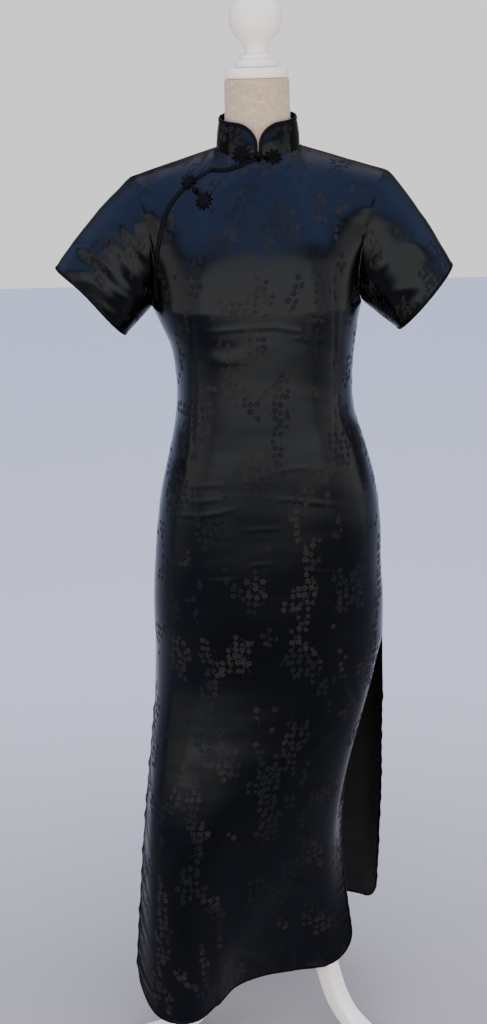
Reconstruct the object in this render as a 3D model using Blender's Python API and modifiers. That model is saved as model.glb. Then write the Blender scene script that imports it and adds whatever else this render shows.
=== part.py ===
"""A fitted satin dress with short sleeves and a standing collar, on a limbless
dress form with a turned finial and a three-legged wooden stand.
Metres, +Z up, the front of the dress faces -Y."""
import math

import bmesh
import bpy
import numpy as np
from mathutils import Vector
from mathutils.bvhtree import BVHTree

# Cloth and seams
CLOTH = 0.0016            # satin with its lining
SEAM_GAP = 0.0003         # between neighbouring pieces
BINDING_GAP = 0.0006      # between a binding and the cloth that it edges
BINDING_WIDTH = 0.006     # finished width of the satin binding
BINDING_PROUD = 0.0005    # how far the binding stands over the cloth, each side

# Heights of the dress above the floor
HEM_LEFT_Z = 0.12
HEM_RIGHT_Z = 0.155
BACK_HEM_Z = 0.122
SLIT_TOP_Z = 0.722
BINDING_TOP_Z = 0.717
UNDERARM_Z = 1.27

# Skirt corners and the half width that turns an inset in metres into the
# panel's own coordinate, which runs from -1 to 1
LEFT_CORNER = 0.09
RIGHT_CORNER = 0.056
HALF_PANEL = 0.218

# Shoulders and neckline
SHOULDER_TIP = Vector((0.195, 0.005, 1.462))
SIDE_NECK = Vector((0.0625, 0.0, 1.503))
FRONT_NECK = Vector((0.0, -0.061, 1.488))
BACK_NECK = Vector((0.0, 0.060, 1.518))
NECK_SHARE = 0.5          # part of a yoke's top edge that is neckline

# Collar
COLLAR_HEIGHT = 0.043
COLLAR_LEAN = 0.005
COLLAR_FRONT_HEIGHT = 0.049
COLLAR_BACK_HEIGHT = 0.037
COLLAR_CORNER_LENGTH = 0.036
COLLAR_CORNER_HEIGHT = 0.031
COLLAR_OPENING = 0.001

# Sleeve hems: top point, bottom point and half depth
SLEEVE_HEM_LEFT = ((-0.317, 0.0, 1.327), (-0.211, 0.0, 1.225))
SLEEVE_HEM_RIGHT = ((0.294, 0.0, 1.317), (0.210, 0.0, 1.223))
SLEEVE_HALF_DEPTH = 0.046
SLEEVE_BULGE = 0.009

# Form and stand
FORM_BOTTOM_Z = 0.80
FORM_CLEARANCE = 0.005
SHOULDER_CLEARANCE = 0.0006
NECK_CLEARANCE = 0.0025
ARMHOLE_EXTRA = 0.003     # more room round the form's arm ends
NECK_SET_IN = 0.003       # how far the neck's foot stands in from the neckline
NECK_RADIUS = 0.047
NECK_TOP_Z = 1.598
CAP_THICKNESS = 0.015
BALL_RADIUS = 0.039
FINIAL_HEIGHT = 0.108
POLE_RADIUS = 0.016
HUB_RADIUS = 0.030
HUB_BOTTOM_Z = 0.175
HUB_TOP_Z = 0.325
LEG_WIDTH = 0.037
LEG_DIRECTIONS = {"right": 54.0, "left": -66.0, "back": 174.0}

# Grid sizes
FRONT_CELLS = 12
BACK_CELLS = 18
UNDERLAP_CELLS = 6

# The body of the dress above the slits. An exponent of 1 would make its
# sections ellipses, and a smaller one fills their corners.
TRUNK_ROUNDNESS = 0.92
TRUNK = [
    # height, left, right, front, back
    (0.722, 0.188, 0.187, 0.124, 0.126),
    (0.780, 0.188, 0.187, 0.1235, 0.129),
    (0.842, 0.184, 0.184, 0.1225, 0.132),
    (0.910, 0.177, 0.183, 0.1210, 0.132),
    (0.977, 0.167, 0.176, 0.1195, 0.124),
    (1.044, 0.150, 0.159, 0.1178, 0.110),
    (1.100, 0.139, 0.142, 0.1168, 0.099),
    (1.140, 0.136, 0.138, 0.1165, 0.094),
    (1.180, 0.138, 0.140, 0.1168, 0.092),
    (1.210, 0.143, 0.143, 0.1178, 0.092),
    (1.240, 0.155, 0.147, 0.1193, 0.094),
    (1.270, 0.168, 0.153, 0.121, 0.097),
]

# The two skirt panels below the slits, from the left edge to the right one
FRONT_SKIRT = [
    # across, knee x, knee y, hem x, hem y
    (-1.00, -0.215, -0.085, -0.243, -0.160),
    (-0.75, -0.197, -0.135, -0.198, -0.211),
    (-0.50, -0.155, -0.168, -0.141, -0.224),
    (-0.25, -0.103, -0.172, -0.100, -0.187),
    (0.00, -0.046, -0.162, -0.068, -0.143),
    (0.25, 0.012, -0.147, -0.025, -0.122),
    (0.50, 0.062, -0.125, 0.028, -0.114),
    (0.75, 0.100, -0.092, 0.083, -0.108),
    (1.00, 0.117, -0.045, 0.137, -0.088),
]
BACK_SKIRT = [
    (-1.00, -0.196, 0.045, -0.205, 0.075),
    (-0.75, -0.176, 0.090, -0.180, 0.120),
    (-0.50, -0.128, 0.124, -0.130, 0.152),
    (-0.25, -0.068, 0.142, -0.068, 0.168),
    (0.00, -0.002, 0.149, 0.000, 0.174),
    (0.25, 0.064, 0.147, 0.068, 0.174),
    (0.50, 0.124, 0.132, 0.126, 0.167),
    (0.75, 0.170, 0.106, 0.165, 0.152),
    (1.00, 0.193, 0.060, 0.188, 0.124),
]
KNEE_Z = 0.42

# The slanted front opening: share of the yoke's height, place across the yoke
OPENING = [
    (0.00, -0.965), (0.12, -0.905), (0.30, -0.860), (0.50, -0.805), (0.62, -0.745),
    (0.70, -0.655), (0.76, -0.530), (0.80, -0.405), (0.85, -0.280), (0.91, -0.160),
    (1.00, 0.000),
]
YOKE_ROWS = [0.0, 0.12, 0.24, 0.37, 0.50, 0.60, 0.68, 0.74, 0.79, 0.84, 0.89, 0.94, 1.0]
SKIRT_ROWS = [0.006, 0.011, 0.021, 0.036, 0.060, 0.094, 0.15, 0.21, 0.27, 0.33, 0.39,
              0.45, 0.51, 0.56]
TRUNK_ROWS = [0.722, 0.755, 0.80, 0.842, 0.885, 0.93, 0.977, 1.02, 1.06, 1.10, 1.14,
              1.18, 1.21, 1.24, 1.262]


def smooth_column(points, column, at):
    """A smooth curve through one column of a table, read at one place."""
    table = np.array(points, dtype=float)
    places, values = table[:, 0], table[:, column]
    slopes = np.gradient(values, places)
    at = min(max(at, places[0]), places[-1])
    i = min(int(np.searchsorted(places, at, side="right")) - 1, len(places) - 2)
    step = places[i + 1] - places[i]
    f = (at - places[i]) / step
    return float(
        (1 + 2 * f) * (1 - f) ** 2 * values[i]
        + f * (1 - f) ** 2 * step * slopes[i]
        + f * f * (3 - 2 * f) * values[i + 1]
        + f * f * (f - 1) * step * slopes[i + 1]
    )


def hermite(start, start_pull, end, end_pull, f):
    """A point of the curve that leaves start and reaches end with given pulls."""
    return (
        start * ((1 + 2 * f) * (1 - f) ** 2)
        + start_pull * (f * (1 - f) ** 2)
        + end * (f * f * (3 - 2 * f))
        + end_pull * (f * f * (f - 1))
    )


def trunk_point(side, across, height):
    """side is -1 on the front and 1 on the back; across runs from -1 to 1."""
    half = smooth_column(TRUNK, 1 if across < 0 else 2, height)
    depth = smooth_column(TRUNK, 3 if side < 0 else 4, height)
    angle = across * math.pi / 2
    x = math.copysign(abs(math.sin(angle)) ** TRUNK_ROUNDNESS, across) * half
    y = side * max(math.cos(angle), 0.0) ** TRUNK_ROUNDNESS * depth
    return Vector((x, y, height))


def hem_height(side, across):
    if side > 0:
        return BACK_HEM_Z
    return HEM_LEFT_Z + (HEM_RIGHT_Z - HEM_LEFT_Z) * (across + 1) / 2


def skirt_point(side, across, above_hem):
    """A point of a skirt panel, given by its height over the hem."""
    low = hem_height(side, across)
    height = low + above_hem * (SLIT_TOP_Z - low) / (SLIT_TOP_Z - BACK_HEM_Z)
    table = FRONT_SKIRT if side < 0 else BACK_SKIRT
    hip = trunk_point(side, across, SLIT_TOP_Z)
    knee = Vector([smooth_column(table, c, across) for c in (1, 2)] + [KNEE_Z])
    hem = Vector([smooth_column(table, c, across) for c in (3, 4)] + [low])
    drop = SLIT_TOP_Z - KNEE_Z
    knee_pull = (hem - hip) * (drop / (SLIT_TOP_Z - low))
    if height > KNEE_Z:
        f = (SLIT_TOP_Z - height) / drop
        hip_pull = Vector((0, 0, -drop))
        if side < 0 and across > 0:
            hip_pull += (knee - hip) * 1.4 * across ** 3
        point = hermite(hip, hip_pull, knee, knee_pull, f)
    else:
        fall = KNEE_Z - low
        f = (KNEE_Z - height) / fall
        point = hermite(knee, knee_pull * (fall / drop), hem, hem - knee, f)
    point.z = height
    return point


def yoke_top(side, across):
    """The neckline in the middle and the shoulder seam on each side."""
    share = abs(across)
    hand = Vector((math.copysign(1, across), 1, 1))
    if share >= NECK_SHARE:
        f = (share - NECK_SHARE) / (1 - NECK_SHARE)
        return SIDE_NECK.lerp(SHOULDER_TIP, f) * hand
    angle = share / NECK_SHARE * math.pi / 2
    middle = FRONT_NECK if side < 0 else BACK_NECK
    x = SIDE_NECK.x * math.sin(angle)
    y = SIDE_NECK.y + (middle.y - SIDE_NECK.y) * math.cos(angle)
    z = SIDE_NECK.z + (middle.z - SIDE_NECK.z) * math.cos(angle)
    return Vector((x, y, z)) * hand


def yoke_point(side, across, share):
    """The chest or the upper back, from the underarm line up to the top edge."""
    start = trunk_point(side, across, UNDERARM_Z)
    end = yoke_top(side, across)
    spread = abs(across)
    over = min(spread / 0.6, 1.0)
    over = over * over * (3 - 2 * over)
    swell = 0.012 if side < 0 else 0.02
    start_pull = Vector((
        -0.06 * across ** 3,
        side * (swell + 0.145 * spread ** 4),
        0.17 - 0.02 * spread ** 4,
    ))
    rise = 0.16 if side < 0 else 0.12
    end_pull = Vector((
        0.07 * across ** 3,
        -side * (0.10 + 0.12 * over),
        rise + (0.05 - rise) * over,
    ))
    return hermite(start, start_pull, end, end_pull, share)


def opening_across(share):
    return smooth_column(OPENING, 1, share)


def grid(rows):
    return np.array([[tuple(p) for p in row] for row in rows])


def unit(vectors):
    length = np.linalg.norm(vectors, axis=-1, keepdims=True)
    return vectors / np.maximum(length, 1e-12)


def grid_normals(points, ring=False):
    """Outward directions at a grid whose columns run left to right, seen from
    outside, and whose rows run upward."""
    if ring:
        across = np.roll(points, -1, axis=1) - np.roll(points, 1, axis=1)
    else:
        across = np.gradient(points, axis=1)
    return unit(np.cross(across, np.gradient(points, axis=0)))


def set_in(points, normals, line, amount, inner_line):
    """Moves one border of a grid towards the line beside it, in the surface."""
    border = points[line].copy()
    along = np.gradient(border, axis=0)
    inward = unit(np.cross(normals[line], along))
    wanted = points[inner_line] - border
    flip = np.sign(np.sum(inward * wanted, axis=-1, keepdims=True))
    points[line] = border + inward * flip * amount


def wall_mesh(outer, inner, ring=False):
    """Vertices and faces of a thin wall between two like grids."""
    rows, cols = outer.shape[:2]
    verts = np.concatenate([outer.reshape(-1, 3), inner.reshape(-1, 3)])
    back = rows * cols
    faces = []
    last = cols if ring else cols - 1
    for i in range(rows - 1):
        for j in range(last):
            k = (j + 1) % cols
            a, b = i * cols + j, i * cols + k
            c, d = a + cols, b + cols
            faces.append((a, b, d, c))
            faces.append((back + a, back + c, back + d, back + b))
    for j in range(last):
        k = (j + 1) % cols
        faces.append((j, back + j, back + k, k))
        top = (rows - 1) * cols
        faces.append((top + j, top + k, back + top + k, back + top + j))
    if not ring:
        for i in range(rows - 1):
            a, c = i * cols, (i + 1) * cols
            faces.append((a, c, back + c, back + a))
            b, d = a + cols - 1, c + cols - 1
            faces.append((b, back + b, back + d, d))
    return verts, faces


def make_material(name, color, roughness, metallic=0.0):
    material = bpy.data.materials.new(name)
    material.use_nodes = True
    shader = material.node_tree.nodes["Principled BSDF"]
    shader.inputs["Base Color"].default_value = (*color, 1.0)
    shader.inputs["Roughness"].default_value = roughness
    shader.inputs["Metallic"].default_value = metallic
    return material


def make_object(name, verts, faces, material, smooth=True):
    mesh = bpy.data.meshes.new(name)
    mesh.from_pydata([tuple(v) for v in verts], [], faces)
    shape = bmesh.new()
    shape.from_mesh(mesh)
    bmesh.ops.recalc_face_normals(shape, faces=shape.faces)
    bmesh.ops.triangulate(shape, faces=shape.faces, quad_method="SHORT_EDGE")
    shape.to_mesh(mesh)
    shape.free()
    if smooth:
        mesh.shade_smooth()
        mesh.set_sharp_from_angle(angle=math.radians(50))
    return add_mesh(name, mesh, material)


def add_mesh(name, mesh, material):
    obj = bpy.data.objects.new(name, mesh)
    obj.data.materials.append(material)
    PARTS.objects.link(obj)
    return obj


def make_wall(name, points, normals, material, ring=False, proud=0.0):
    outer = points + normals * proud
    inner = points - normals * (CLOTH + proud)
    verts, faces = wall_mesh(outer, inner, ring)
    return make_object(name, verts, faces, material)


def make_turned(name, profile, material, steps=28):
    """profile runs from the top of the axis, down the outside, to the axis."""
    mesh = bpy.data.meshes.new(name)
    mesh.from_pydata([(r, 0.0, z) for r, z in profile], [],
                     [(i, i + 1) for i in range(len(profile) - 1)])
    obj = add_mesh(name, mesh, material)
    screw = obj.modifiers.new("Turn", "SCREW")
    screw.steps = steps
    screw.render_steps = steps
    screw.use_merge_vertices = True
    screw.merge_threshold = 0.0001
    screw.use_normal_flip = True
    return obj


# Rows of the panels

def corner_inset(above_hem, radius, band):
    """How far a panel's edge stands in from its side, rounded at the hem."""
    if above_hem >= radius:
        return band
    rise = (radius - band) ** 2 - (radius - above_hem) ** 2
    return radius - math.sqrt(max(rise, 0.0))


def skirt_edges(above_hem, band):
    left = -1 + corner_inset(above_hem, LEFT_CORNER, band) / HALF_PANEL
    right = 1 - corner_inset(above_hem, RIGHT_CORNER, band) / HALF_PANEL
    return left, right


def skirt_rows(side, cells):
    rows = []
    for above_hem in SKIRT_ROWS + [BINDING_TOP_Z - BACK_HEM_Z]:
        left, right = skirt_edges(above_hem, BINDING_WIDTH)
        spots = [left + (right - left) * j / cells for j in range(cells + 1)]
        rows.append([skirt_point(side, s, above_hem) for s in spots])
    return rows


def trunk_rows(side, cells):
    spots = [-1 + 2 * j / cells for j in range(cells + 1)]
    return [[trunk_point(side, s, z) for s in spots] for z in TRUNK_ROWS]


def front_yoke_rows():
    rows = []
    for share in YOKE_ROWS:
        left = opening_across(share)
        spots = [left + (1 - left) * j / FRONT_CELLS for j in range(FRONT_CELLS + 1)]
        rows.append([yoke_point(-1, s, share) for s in spots])
    return rows


def underlap_rows():
    rows = []
    for share in YOKE_ROWS:
        right = opening_across(share)
        spots = [-1 + (right + 1) * j / UNDERLAP_CELLS for j in range(UNDERLAP_CELLS + 1)]
        rows.append([yoke_point(-1, s, share) for s in spots])
    return rows


def back_yoke_rows():
    low = np.linspace(-1, 1, BACK_CELLS + 1)
    high = np.concatenate([np.linspace(-1, 0, UNDERLAP_CELLS + 1),
                           np.linspace(0, 1, FRONT_CELLS + 1)[1:]])
    rows = []
    for share in YOKE_ROWS:
        spots = low + (high - low) * share
        rows.append([yoke_point(1, float(s), share) for s in spots])
    return rows


def sleeve_grid(armhole, hem, stations):
    """armhole is a ring that starts at the underarm and goes up the front.
    The rows run from the armhole to the hem."""
    top, bottom = Vector(hem[0]), Vector(hem[1])
    middle = (top + bottom) / 2
    reach = (top - bottom) / 2
    hand = math.copysign(1, top.x)
    count = len(armhole)
    ring = []
    for k in range(count):
        turn = 2 * math.pi * ARMHOLE_TURN[k]
        point = middle - reach * math.cos(turn)
        point.y -= SLEEVE_HALF_DEPTH * math.sin(turn)
        ring.append(point)
    rows = []
    for f in stations:
        row = []
        for k in range(count):
            start = Vector(armhole[k])
            turn = 2 * math.pi * ARMHOLE_TURN[k]
            swell = Vector((hand * 0.9, 0, 0.5)) * (0.5 - 0.5 * math.cos(turn))
            swell.y -= 0.7 * math.sin(turn)
            bend = (start + ring[k]) / 2 + swell * SLEEVE_BULGE
            row.append(start * (1 - f) ** 2 + bend * (2 * f * (1 - f)) + ring[k] * f * f)
        rows.append(row)
    return grid(rows)


def share_normals(*groups):
    """Gives several borders that meet along one seam their mean direction.
    Each group is an array and the index of the border in it."""
    total = unit(sum(array[index] for array, index in groups))
    for array, index in groups:
        array[index] = total


# Scene and materials

for old in list(bpy.data.objects):
    bpy.data.objects.remove(old)

PARTS = bpy.data.collections.new("dress_on_form")
bpy.context.scene.collection.children.link(PARTS)

SATIN = make_material("black_satin", (0.012, 0.012, 0.014), 0.28)
PIPING = make_material("black_binding", (0.009, 0.009, 0.010), 0.35)
CORD = make_material("black_cord", (0.008, 0.008, 0.009), 0.45)
LINEN = make_material("linen", (0.50, 0.44, 0.35), 0.85)
PAINT = make_material("white_paint", (0.72, 0.69, 0.62), 0.45)

# Grids of the whole dress, before seams and bindings take their room

front = grid(skirt_rows(-1, FRONT_CELLS) + trunk_rows(-1, FRONT_CELLS) + front_yoke_rows())
back = grid(skirt_rows(1, BACK_CELLS) + trunk_rows(1, BACK_CELLS) + back_yoke_rows())
underlap = grid(underlap_rows())

YOKE = len(SKIRT_ROWS) + 1 + len(TRUNK_ROWS)     # first yoke row of the panels
TRUNK_START = len(SKIRT_ROWS) + 1
yoke_part = slice(YOKE, None)
trunk_part = slice(TRUNK_START, YOKE)

front_out = grid_normals(front)
back_out = -grid_normals(back)
underlap_out = grid_normals(underlap)

# Armholes: up the front from the underarm and down the back to it
length_up = np.linalg.norm(np.diff(front[yoke_part, -1], axis=0), axis=1)
share_up = np.concatenate([[0], np.cumsum(length_up)]) / length_up.sum() / 2
ARMHOLE_TURN = list(share_up) + [1 - s for s in share_up[-2:0:-1]]
SLEEVE_STATIONS = [0.0, 0.22, 0.45, 0.68, 1.0]

armhole_left = np.concatenate([underlap[:, 0], back[yoke_part, 0][-2:0:-1]])
armhole_right = np.concatenate([front[yoke_part, -1], back[yoke_part, -1][-2:0:-1]])
sleeve_left = sleeve_grid(armhole_left, SLEEVE_HEM_LEFT, SLEEVE_STATIONS)
sleeve_right = sleeve_grid(armhole_right, SLEEVE_HEM_RIGHT, SLEEVE_STATIONS)
sleeve_left_out = grid_normals(sleeve_left, ring=True)
sleeve_right_out = -grid_normals(sleeve_right, ring=True)

# Collar: once around the neckline, from the opening to the opening
neck_front_left = underlap[-1, UNDERLAP_CELLS // 2:][::-1]
neck_back = back[-1, UNDERLAP_CELLS // 2:UNDERLAP_CELLS + FRONT_CELLS // 2 + 1]
neck_front_right = front[-1, :FRONT_CELLS // 2 + 1][::-1]
neckline = np.concatenate([neck_front_left, neck_back[1:], neck_front_right[1:]])

neck_length = np.concatenate([[0], np.cumsum(np.linalg.norm(np.diff(neckline, axis=0), axis=1))])
NECK_TOTAL = float(neck_length[-1])


def neck_at(place, values):
    return np.array([np.interp(place, neck_length, values[:, c]) for c in range(3)])


def collar_point(place, height):
    base = neck_at(place, neckline)
    inward = np.array([-base[0], -base[1], 0.0])
    inward /= np.linalg.norm(inward)
    return base + np.array([0, 0, height]) + inward * COLLAR_LEAN * height / COLLAR_HEIGHT


def collar_height(place):
    """The band is tallest at the front and lowest at the back of the neck."""
    front_share = 0.5 + 0.5 * math.cos(2 * math.pi * place / NECK_TOTAL)
    return COLLAR_BACK_HEIGHT + (COLLAR_FRONT_HEIGHT - COLLAR_BACK_HEIGHT) * front_share


def collar_columns(band):
    """Places along the neckline and the edge height at each, for one border
    line that stands in from the finished edge by band."""
    first = COLLAR_OPENING + band
    corner = []
    for degrees in (0, 25, 45, 65, 90):
        turn = math.radians(degrees)
        place = first + (COLLAR_CORNER_LENGTH - band) * (1 - math.cos(turn))
        drop = COLLAR_CORNER_HEIGHT - (COLLAR_CORNER_HEIGHT - band) * math.sin(turn)
        corner.append((place, collar_height(place) - drop))
    inner = [(s, collar_height(s) - band) for s in neck_length
             if COLLAR_CORNER_LENGTH + 0.004 < s < NECK_TOTAL - COLLAR_CORNER_LENGTH - 0.004]
    return corner + inner + [(NECK_TOTAL - s, h) for s, h in corner[::-1]]


def collar_grid(band, shares):
    columns = collar_columns(band)
    return np.array([[collar_point(s, h * f) for s, h in columns] for f in shares])


collar = collar_grid(BINDING_WIDTH, [0.0, 0.33, 0.66, 1.0])
collar_out = -grid_normals(collar)

# Shared directions along the seams, so that neighbours end on one plane
side_part = slice(TRUNK_START - 1, YOKE)
share_normals((front_out, (side_part, 0)), (back_out, (side_part, 0)))
share_normals((front_out, (side_part, -1)), (back_out, (side_part, -1)))
half = len(YOKE_ROWS)
ring_back = [0] + list(range(len(ARMHOLE_TURN) - 1, half - 1, -1)) + [half - 1]
for sleeve_out, front_side, side_column in (
    (sleeve_left_out, (underlap_out, slice(None), 0), 0),
    (sleeve_right_out, (front_out, yoke_part, -1), -1),
):
    panel_out, rows, column = front_side
    mean = unit(panel_out[rows, column] + sleeve_out[0, :half])
    mean_back = unit(back_out[yoke_part, side_column] + sleeve_out[0][ring_back])
    ends = unit(mean[[0, -1]] + mean_back[[0, -1]])
    mean[[0, -1]] = ends
    mean_back[[0, -1]] = ends
    panel_out[rows, column] = mean
    back_out[yoke_part, side_column] = mean_back
    sleeve_out[0, :half] = mean
    sleeve_out[0][ring_back[1:-1]] = mean_back[1:-1]
mid_left = UNDERLAP_CELLS // 2
mid_right = FRONT_CELLS // 2
share_normals((underlap_out, (-1, slice(1, mid_left + 1))),
              (back_out, (-1, slice(1, mid_left + 1))))
share_normals((front_out, (-1, slice(mid_right, -1))),
              (back_out, (-1, slice(UNDERLAP_CELLS + mid_right, -1))))

underlap_out[:, -1] = front_out[yoke_part, 0]

# Neckline directions: the yoke's and the collar's mean
neck_out = np.concatenate([
    underlap_out[-1, mid_left:][::-1],
    back_out[-1, mid_left:UNDERLAP_CELLS + mid_right + 1][1:],
    front_out[-1, :mid_right + 1][::-1][1:],
])
outward = unit(neckline * np.array([1, 1, 0]))
neck_out = unit(neck_out + outward)
count_left = mid_left + 1
underlap_out[-1, mid_left:] = neck_out[:count_left][::-1]
front_out[-1, :mid_right + 1] = neck_out[-(mid_right + 1):][::-1]
back_out[-1, mid_left:UNDERLAP_CELLS + mid_right + 1] = \
    neck_out[count_left - 1:len(neck_out) - mid_right]
for j, (place, _) in enumerate(collar_columns(BINDING_WIDTH)):
    collar_out[0, j] = unit(neck_at(place, neck_out))

# Bindings, made from the edges of the panels before those are set in

opening_line = front[yoke_part, 0].copy()
opening_out = front_out[yoke_part, 0].copy()
opening_along = np.gradient(opening_line, axis=0)
opening_in = unit(np.cross(opening_out, opening_along))
opening_in *= np.sign(np.sum(opening_in * (front[yoke_part, 1] - opening_line), axis=1))[:, None]

# The binding's two border lines, whose upper ends stop short of the collar
opening_strip = np.array([
    opening_line,
    opening_line + opening_in * (BINDING_WIDTH - BINDING_GAP),
])
drop_end = unit(opening_line[-2] - opening_line[-1]) * SEAM_GAP * 2
opening_strip[:, -1] += drop_end

# Panels

seam = SEAM_GAP / 2
front_panel = front.copy()
back_panel = back.copy()
underlap_panel = underlap.copy()
for panel, out in ((front_panel, front_out), (back_panel, back_out)):
    upper = slice(TRUNK_START, None)
    for column, beside in ((0, 1), (-1, -2)):
        points = panel[upper]
        set_in(points, out[upper], (slice(None), column), seam, (slice(None), beside))
front_panel[yoke_part, 0] = opening_line + opening_in * BINDING_WIDTH
for panel, out in ((front_panel, front_out), (back_panel, back_out),
                   (underlap_panel, underlap_out)):
    set_in(panel, out, (-1,), seam, (-2,))
set_in(underlap_panel, underlap_out, (slice(None), 0), seam, (slice(None), 1))
underlap_panel[:, -1] = opening_line - opening_in * BINDING_GAP
underlap_panel[-1, -1] += drop_end * 1.5
set_in(underlap_panel, underlap_out, (0,), seam, (1,))

make_wall("front_panel", front_panel, front_out, SATIN)
make_wall("front_underlap", underlap_panel, underlap_out, SATIN)
make_wall("back_panel", back_panel, back_out, SATIN)
make_wall("opening_binding", opening_strip, np.array([opening_out, opening_out]), PIPING,
          proud=BINDING_PROUD)

for name, sleeve, out in (("left", sleeve_left, sleeve_left_out),
                          ("right", sleeve_right, sleeve_right_out)):
    finished = sleeve[-1].copy()
    slope = unit(sleeve[-2] - sleeve[-1])
    body = sleeve.copy()
    body[0] += unit(sleeve[1] - sleeve[0]) * seam
    body[-1] = finished + slope * BINDING_WIDTH
    make_wall("sleeve_" + name, body, out, SATIN, ring=True)
    band = np.array([finished, finished + slope * (BINDING_WIDTH - SEAM_GAP)])
    make_wall("sleeve_binding_" + name, band, np.array([out[-1], out[-1]]), PIPING,
              ring=True, proud=BINDING_PROUD)

collar_panel = collar.copy()
collar_panel[0] += unit(collar[1] - collar[0]) * seam
make_wall("collar_band", collar_panel, collar_out, SATIN)


def collar_edge(band):
    columns = collar_columns(band)
    line = [collar_point(columns[0][0], SEAM_GAP)]
    line += [collar_point(s, h) for s, h in columns]
    line.append(collar_point(columns[-1][0], SEAM_GAP))
    return np.array(line)


collar_strip = np.array([collar_edge(0.0), collar_edge(BINDING_WIDTH - SEAM_GAP)])
collar_strip_out = np.concatenate([collar_out[-1][:1], collar_out[-1], collar_out[-1][-1:]])
make_wall("collar_binding", collar_strip, np.array([collar_strip_out] * 2), PIPING,
          proud=BINDING_PROUD)


def skirt_binding_lines(side, cells):
    """Border lines down the left slit edge, round the hem and up the right."""
    lines = []
    for band in (BINDING_GAP, BINDING_WIDTH - BINDING_GAP):
        left_line, right_line, hem_line = [], [], []
        for above_hem in reversed(SKIRT_ROWS + [BINDING_TOP_Z - BACK_HEM_Z - SEAM_GAP * 3]):
            for line, radius, hand in ((left_line, LEFT_CORNER, -1),
                                       (right_line, RIGHT_CORNER, 1)):
                inset, height = band, above_hem
                if above_hem < radius:
                    panel_inset = corner_inset(above_hem, radius, BINDING_WIDTH)
                    reach = (radius - band) / (radius - BINDING_WIDTH)
                    inset = radius - (radius - panel_inset) * reach
                    height = radius - (radius - above_hem) * reach
                across = hand * (1 - inset / HALF_PANEL)
                line.append(skirt_point(side, across, height))
        left, right = skirt_edges(SKIRT_ROWS[0], BINDING_WIDTH)
        for j in range(1, cells):
            hem_line.append(skirt_point(side, left + (right - left) * j / cells, band))
        lines.append(left_line + hem_line + right_line[::-1])
    return grid(lines)


for name, side, cells, out in (
    ("front_skirt_binding", -1, FRONT_CELLS, front_out),
    ("back_skirt_binding", 1, BACK_CELLS, back_out),
):
    lines = skirt_binding_lines(side, cells)
    edge_out = np.concatenate([
        out[:TRUNK_START, 0][::-1], out[0, 1:-1], out[:TRUNK_START, -1],
    ])
    make_wall(name, lines, np.array([edge_out, edge_out]), PIPING, proud=BINDING_PROUD)


# Flower-shaped frog plates that lie on what is under them, and their knots

def surface_under(names):
    verts, faces = [], []
    for name in names:
        mesh = PARTS.objects[name].data
        base = len(verts)
        verts += [v.co.copy() for v in mesh.vertices]
        faces += [[base + i for i in p.vertices] for p in mesh.polygons]
    return BVHTree.FromPolygons(verts, faces)


TOP_LAYER = surface_under(["front_panel", "front_underlap", "opening_binding",
                           "collar_band", "collar_binding"])
PLATE_THICKNESS = 0.0024
PLATE_CLEARANCE = 0.0007
SEAT_GAP = 0.0004         # between a plate or a knot and what it lies on
KNOT_RADIUS = 0.0044
PETAL_DEPTH = 0.10
PROBE = 0.04              # where the look down at the cloth starts
PROBE_REACH = 0.0030      # a plate clears what lies this near it
NECK_FACING = (0.0, -0.95, 0.30)


def plate_frame(out):
    out = Vector(out).normalized()
    right = Vector((0, 0, 1)).cross(out).normalized() * -1
    return out, right, out.cross(right).normalized() * -1


def height_over_cloth(spot, out):
    hit = TOP_LAYER.ray_cast(spot + out * PROBE, -out)
    return PROBE - hit[3] if hit[0] is not None else 0.0


def resting_place(x, z):
    """The cloth's point seen from the front at x and z, and the way it faces there."""
    hits = []
    for dx, dz in ((0, 0), (0.008, 0), (-0.008, 0), (0, 0.008), (0, -0.008)):
        hits.append(TOP_LAYER.ray_cast(Vector((x + dx, -1, z + dz)), Vector((0, 1, 0))))
    facing = sum((hit[1] for hit in hits), Vector())
    return hits[0][0], facing.normalized()


def make_plate(name, centre, out, half_width, half_height, petals, tilt):
    out, right, up = plate_frame(out)
    centre = Vector(centre)
    rings, spokes = 4, petals * 4
    heights, spots = {}, {}
    for i in range(rings + 1):
        for k in range(spokes if i else 1):
            turn = 2 * math.pi * k / spokes + tilt
            reach = i / rings * (1 - PETAL_DEPTH * (1 - math.cos(petals * (turn - tilt))))
            spot = (centre + right * half_width * reach * math.cos(turn)
                    + up * half_height * reach * math.sin(turn))
            spots[i, k] = spot
            near = [spot] + [spot + way * PROBE_REACH for way in (right, -right, up, -up)]
            heights[i, k] = max(height_over_cloth(place, out) for place in near)
    under = {key: spots[key] + out * (heights[key] + PLATE_CLEARANCE) for key in spots}
    free = min(TOP_LAYER.find_nearest(point)[3] for point in under.values())
    drop = max(free - SEAT_GAP, 0.0)
    layers = []
    for level in (-drop, PLATE_THICKNESS - drop):
        layers.append({key: under[key] + out * level for key in spots})
    keys = list(spots)
    index = {key: n for n, key in enumerate(keys)}
    count = len(keys)
    verts = [layer[key] for layer in layers for key in keys]
    faces = []
    for k in range(spokes):
        n = (k + 1) % spokes
        a, b = index[1, k], index[1, n]
        faces += [(index[0, 0], b, a), (count + index[0, 0], count + a, count + b)]
        for i in range(1, rings):
            a, b = index[i, k], index[i, n]
            c, d = index[i + 1, k], index[i + 1, n]
            faces += [(a, b, d, c), (count + a, count + c, count + d, count + b)]
        a, b = index[rings, k], index[rings, n]
        faces.append((a, b, count + b, count + a))
    make_object(name, verts, faces, CORD)


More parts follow.
